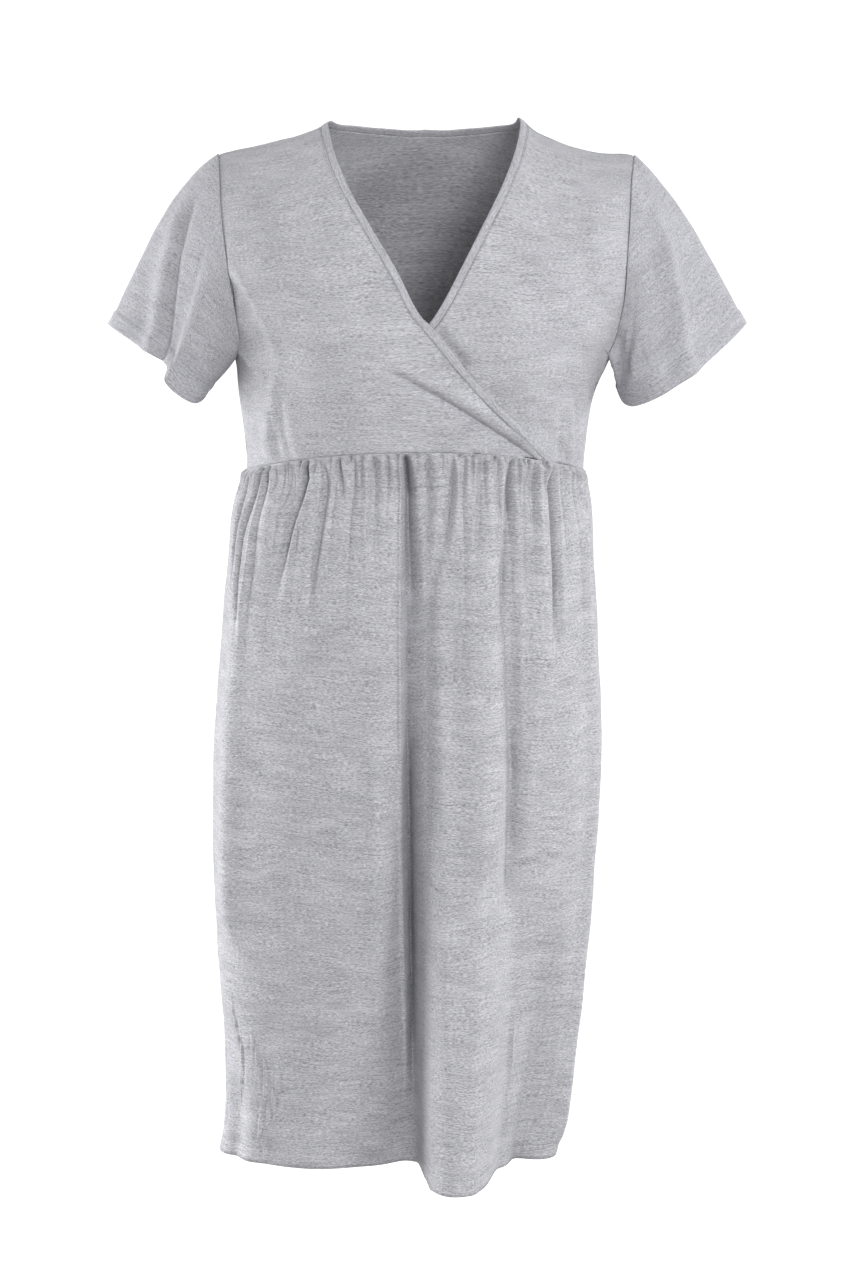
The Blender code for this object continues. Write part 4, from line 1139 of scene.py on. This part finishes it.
def make_bodice(looks):
    """The two fronts and the back, each ending where the neck band begins."""
    over, back, under = neckline()
    edge = np.vstack([over, back, under])
    cut = beside(edge, edge_tangents(edge), BAND_WIDTH)
    over = above_seam(cut[:len(over)])
    back = cut[len(over):-len(under)][::-1]
    under = above_seam(cut[-len(under):][::-1])
    over[-1, 1] = 0
    under[-1, 1] = 0
    make_bodice_panel(
        "bodice_front_right", "neck_stitches_over", front_places(side_edge(-1, False), over),
        "last", lambda grid: grid[:, ::-1].swapaxes(0, 1), looks,
    )
    make_bodice_panel(
        UNDER_PANEL, "neck_stitches_under", front_places(under, side_edge(1, False)),
        "first", lambda grid: grid[::-1].swapaxes(0, 1), looks,
    )
    left = side_edge(1, True)
    right = side_edge(-1, True)
    left_shoulder = shoulder_edge(left[-1, 0], np.pi - under[-1, 0], SHOULDER_COLUMNS)
    right_shoulder = shoulder_edge(np.pi - over[-1, 0], right[-1, 0], SHOULDER_COLUMNS)
    top = np.vstack([left_shoulder, back, right_shoulder])
    bottom = bodice_bottom(left[0, 0], right[0, 0], len(top))
    neck = slice(SHOULDER_COLUMNS, -SHOULDER_COLUMNS)
    make_bodice_panel(
        "bodice_back", "neck_stitches_back", patch(bottom, top, left, right),
        "high", lambda grid: grid[::-1, neck][:, ::-1], looks,
    )


def make_neck_band(material):
    """One narrow band along the whole free edge: a flattened ring carried along the neckline."""
    over, back, under = neckline()
    edge = np.vstack([over, back, under])
    tangents = edge_tangents(edge)
    sunk = np.zeros(len(edge))
    sunk[-len(under):] = recess(*under.T)
    ring = []
    for angle in np.linspace(0, 2 * np.pi, BAND_POINTS, endpoint=False):
        share = (1 - np.cos(angle)) / 2
        lift = BAND_CLOTH / 2 * np.sign(np.sin(angle)) * np.abs(np.sin(angle)) ** BAND_SQUARE
        places = above_seam(beside(edge, tangents, share * BAND_WIDTH))
        height = BAND_PROUD - BAND_CLOTH / 2 + lift - sunk
        ring.append(form(*places.T) + outward(*places.T) * height[:, None])
    ring = np.stack(ring, 1)
    wide = np.concatenate([ring, ring[:, :1]], 1)
    uv = np.stack([lengths(wide, 0)[0], lengths(wide, 1)[0]], -1).reshape(-1, 2)
    corners = cells(numbers(*wide.shape[:2]))
    faces = cells(numbers(*ring.shape[:2], closed=True))
    piece = make_mesh("neck_band_cloth", ring, faces, material, uv[corners])
    close_ends(piece, numbers(*ring.shape[:2]))
    dress_piece(piece, "neck_band")


def close_ends(piece, index):
    """A flat face across each end of a tube."""
    mesh = bmesh.new()
    mesh.from_mesh(piece.data)
    mesh.verts.ensure_lookup_table()
    for ring in (index[0, ::-1], index[-1]):
        mesh.faces.new([mesh.verts[int(number)] for number in ring])
    mesh.to_mesh(piece.data)
    mesh.free()


def make_sleeve(name, side, material, thread):
    """A tube from the armhole to the cuff, bent like a sleeve that hangs empty: each of its lines
    is a Hermite curve that leaves the armhole square to its seam and ends down the arm."""
    half = SLEEVE_COLUMNS // 2
    front = armhole(side, False, half + 1)
    back = armhole(side, True, half + 1)
    places = np.vstack([front, back[-2:0:-1]])
    head = form(*places.T)
    around = np.arange(len(head)) / len(head)
    cuff_rows = {}
    for column, values in CUFFS[name].items():
        lap = 1 if column == "around" else 0
        cuff_rows[column] = np.r_[values[-1] - lap, values, values[:2] + lap]
    cuff = np.stack([read(cuff_rows, axis, around) for axis in "xyz"], -1)

    slope = np.array(SLEEVE_SLOPE) * (side, 1, 1)
    tangent = unit(np.roll(head, -1, axis=0) - np.roll(head, 1, axis=0))
    across = np.cross(tangent, outward(*places.T))
    across = across * np.sign(across @ (side, 0, 0))[:, None]
    up = ease((head[:, 2] - UNDERARM_Z) / (head[:, 2].max() - UNDERARM_Z))[:, None]
    up = up * SLEEVE_LEAN[name]
    leave = unit(up * across + (1 - up) * slope)
    span = np.linalg.norm(cuff - head, axis=-1, keepdims=True)
    f = np.linspace(0, 1, SLEEVE_ROWS)[:, None, None]
    grid = head * (1 + 2 * f) * (1 - f) ** 2 + cuff * f * f * (3 - 2 * f)
    grid = grid + f * (1 - f) ** 2 * span * SLEEVE_HEAD_REACH * leave
    grid = grid - f * f * (1 - f) * span * SLEEVE_CUFF_REACH * slope
    around = np.broadcast_to(around, grid.shape[:2])
    if side > 0:
        grid = grid[:, ::-1]
        around = around[:, ::-1]
    grid = grid[::-1]

    from_cuff, from_seam = lengths(grid, 0)
    up = from_cuff / (from_cuff + from_seam)
    uneven = ripple(lengths(grid, 1)[0], from_cuff, *SLEEVE_RIPPLE)
    rise = sleeve_crease_rise(name, around, up) - stitch_line(from_cuff, SLEEVE_HEM)
    rise = rise + uneven * ease(from_cuff / SLEEVE_RIPPLE_START)
    rise = rise * ease(from_seam / SLEEVE_SEAM_FADE)
    thick = np.where(from_cuff < SLEEVE_HEM, HEM_CLOTH, CLOTH)[..., None]
    outer = grid + grid_normals(grid, closed=True) * rise[..., None]
    piece = shell(name + "_cloth", outer, thick, material, closed=True)
    row = hem_stitches(name, outer, from_cuff, SLEEVE_HEM, True, thread)
    dress_piece(piece, name)


def make_skirt(name, first, last, material, thread):
    """A skirt panel between two gathers: the form, moved out level by folds, creases and gathers.
    Its rows are closest at the hem's stitches and under the seam."""
    starts = gather_turns()
    number = np.linspace(first, last, (last - first) * COLUMNS_PER_GATHER + 1)
    turn = np.interp(number, np.arange(len(starts)), starts)
    top = seam_height(turn)
    hem = np.broadcast_to(HEM_Z + np.array(SKIRT_HEM_ROWS)[:, None], (len(SKIRT_HEM_ROWS), len(top)))
    share = 1 - (1 - np.linspace(0, 1, SKIRT_ROWS)[1:, None]) ** SKIRT_ROWS_CROWD
    z = np.vstack([hem, hem[-1] + (top - hem[-1]) * share])
    turn = np.broadcast_to(turn, z.shape)
    fall = fall_at(turn, z)
    points = form(turn, fall)
    z = points[..., 2]
    side_in, side_out = lengths(points, 1)
    from_hem, from_seam = lengths(points, 0)
    below = ease((seam_height(turn) - z) / FOLD_START)
    rise = (skirt_fold_rise(turn, z) + flute_rise(turn, z)) * below + gather_rise(turn, z)
    rise = rise + skirt_crease_rise(turn, z) + pucker_rise(turn, z)
    rise = rise + ripple(side_in, from_hem, *SKIRT_RIPPLE)
    rise = rise - roll_in(from_seam) - roll_in(side_in) - roll_in(side_out)
    rise = rise - stitch_line(from_hem, SKIRT_HEM)
    level = unit(outward(turn, fall) * (1, 1, 0))
    outer = points + level * rise[..., None]
    thick = np.where(from_hem < SKIRT_HEM, HEM_CLOTH, CLOTH)[..., None]
    piece = shell(name + "_cloth", outer, thick, material)
    row = hem_stitches(name, outer, from_hem, SKIRT_HEM, False, thread)
    dress_piece(piece, name)


def make_floor(material):
    """The floor, which bends up into a wall all round: a profile of a line, an arc and a line,
    turned about the middle."""
    angle = np.linspace(0, np.pi / 2, FLOOR_ARC_STEPS)
    out = np.r_[0, FLOOR_RADIUS + FLOOR_ROUND * np.sin(angle), FLOOR_RADIUS + FLOOR_ROUND]
    z = np.r_[FLOOR_Z, FLOOR_Z + FLOOR_ROUND * (1 - np.cos(angle)), FLOOR_Z + WALL_HEIGHT]
    turn = np.linspace(0, 2 * np.pi, FLOOR_SIDES, endpoint=False)
    across = np.outer(out, np.sin(turn))
    ahead = np.outer(out, np.cos(turn))
    points = np.stack([across, ahead, np.outer(z, np.ones(FLOOR_SIDES))], -1)
    return make_mesh("floor", points, cells(numbers(*across.shape, closed=True)), material)


def make_camera():
    camera = bpy.data.objects.new("camera", bpy.data.cameras.new("camera"))
    camera.location = CAMERA_PLACE
    camera.rotation_euler = (CAMERA_PITCH, 0, 0)
    camera.data.lens = LENS_MM
    camera.data.sensor_width = SENSOR_MM
    bpy.context.scene.collection.objects.link(camera)
    bpy.context.scene.camera = camera


def make_light(name, spot, energy, wide, tall):
    """A rectangle of light, turned to face the middle of the dress."""
    lamp = bpy.data.lights.new(name, "AREA")
    lamp.shape = "RECTANGLE"
    lamp.size = wide
    lamp.size_y = tall
    lamp.energy = energy
    light = bpy.data.objects.new(name, lamp)
    light.location = spot
    x, y, z = np.array(DRESS_MIDDLE) - np.array(spot)
    light.rotation_euler = (np.arctan2(np.hypot(x, y), -z), 0, np.arctan2(-x, y))
    bpy.context.scene.collection.objects.link(light)


def make_studio():
    """A plain pale floor that sweeps up all round, a soft even sky, and soft lights from the front
    and both sides. The floor takes no shadow and throws no light on the cloth."""
    scene = bpy.context.scene
    scene.view_settings.view_transform = "Standard"
    make_camera()
    floor = make_floor(new_material("studio_white", FLOOR_FINISH)[0])
    floor.visible_diffuse = False
    floor.visible_glossy = False
    floor.visible_shadow = False

    scene.world = bpy.data.worlds.new("studio")
    scene.world.use_nodes = True
    tree = scene.world.node_tree
    background = tree.nodes["Background"]
    background.inputs["Color"].default_value = (1, 1, 1, 1)
    up = node(tree, "ShaderNodeTexCoord").outputs["Generated"]
    up = node(tree, "ShaderNodeSeparateXYZ", [(0, up)]).outputs["Z"]
    strength = calculate(tree, "MULTIPLY_ADD", up, SKY_RISE, SKY)
    tree.links.new(strength, background.inputs["Strength"])
    for light in LIGHTS:
        make_light(*light)


def main():
    knit = heather_knit()
    # The sleeves take the jersey whose colour carries painted shade
    bodice, skirt, sleeve, band = (jersey(name, knit) for name in JERSEYS)
    thread = sewing_thread()
    make_bodice((bodice, thread))
    make_neck_band(band)
    make_sleeve("sleeve_right", -1, sleeve, thread)
    make_sleeve("sleeve_left", 1, sleeve, thread)
    front = len(GATHERS_FRONT) - 1
    make_skirt("skirt_front", 0, front, skirt, thread)
    make_skirt("skirt_back", front, front + GATHERS_BACK, skirt, thread)
    make_studio()


main()
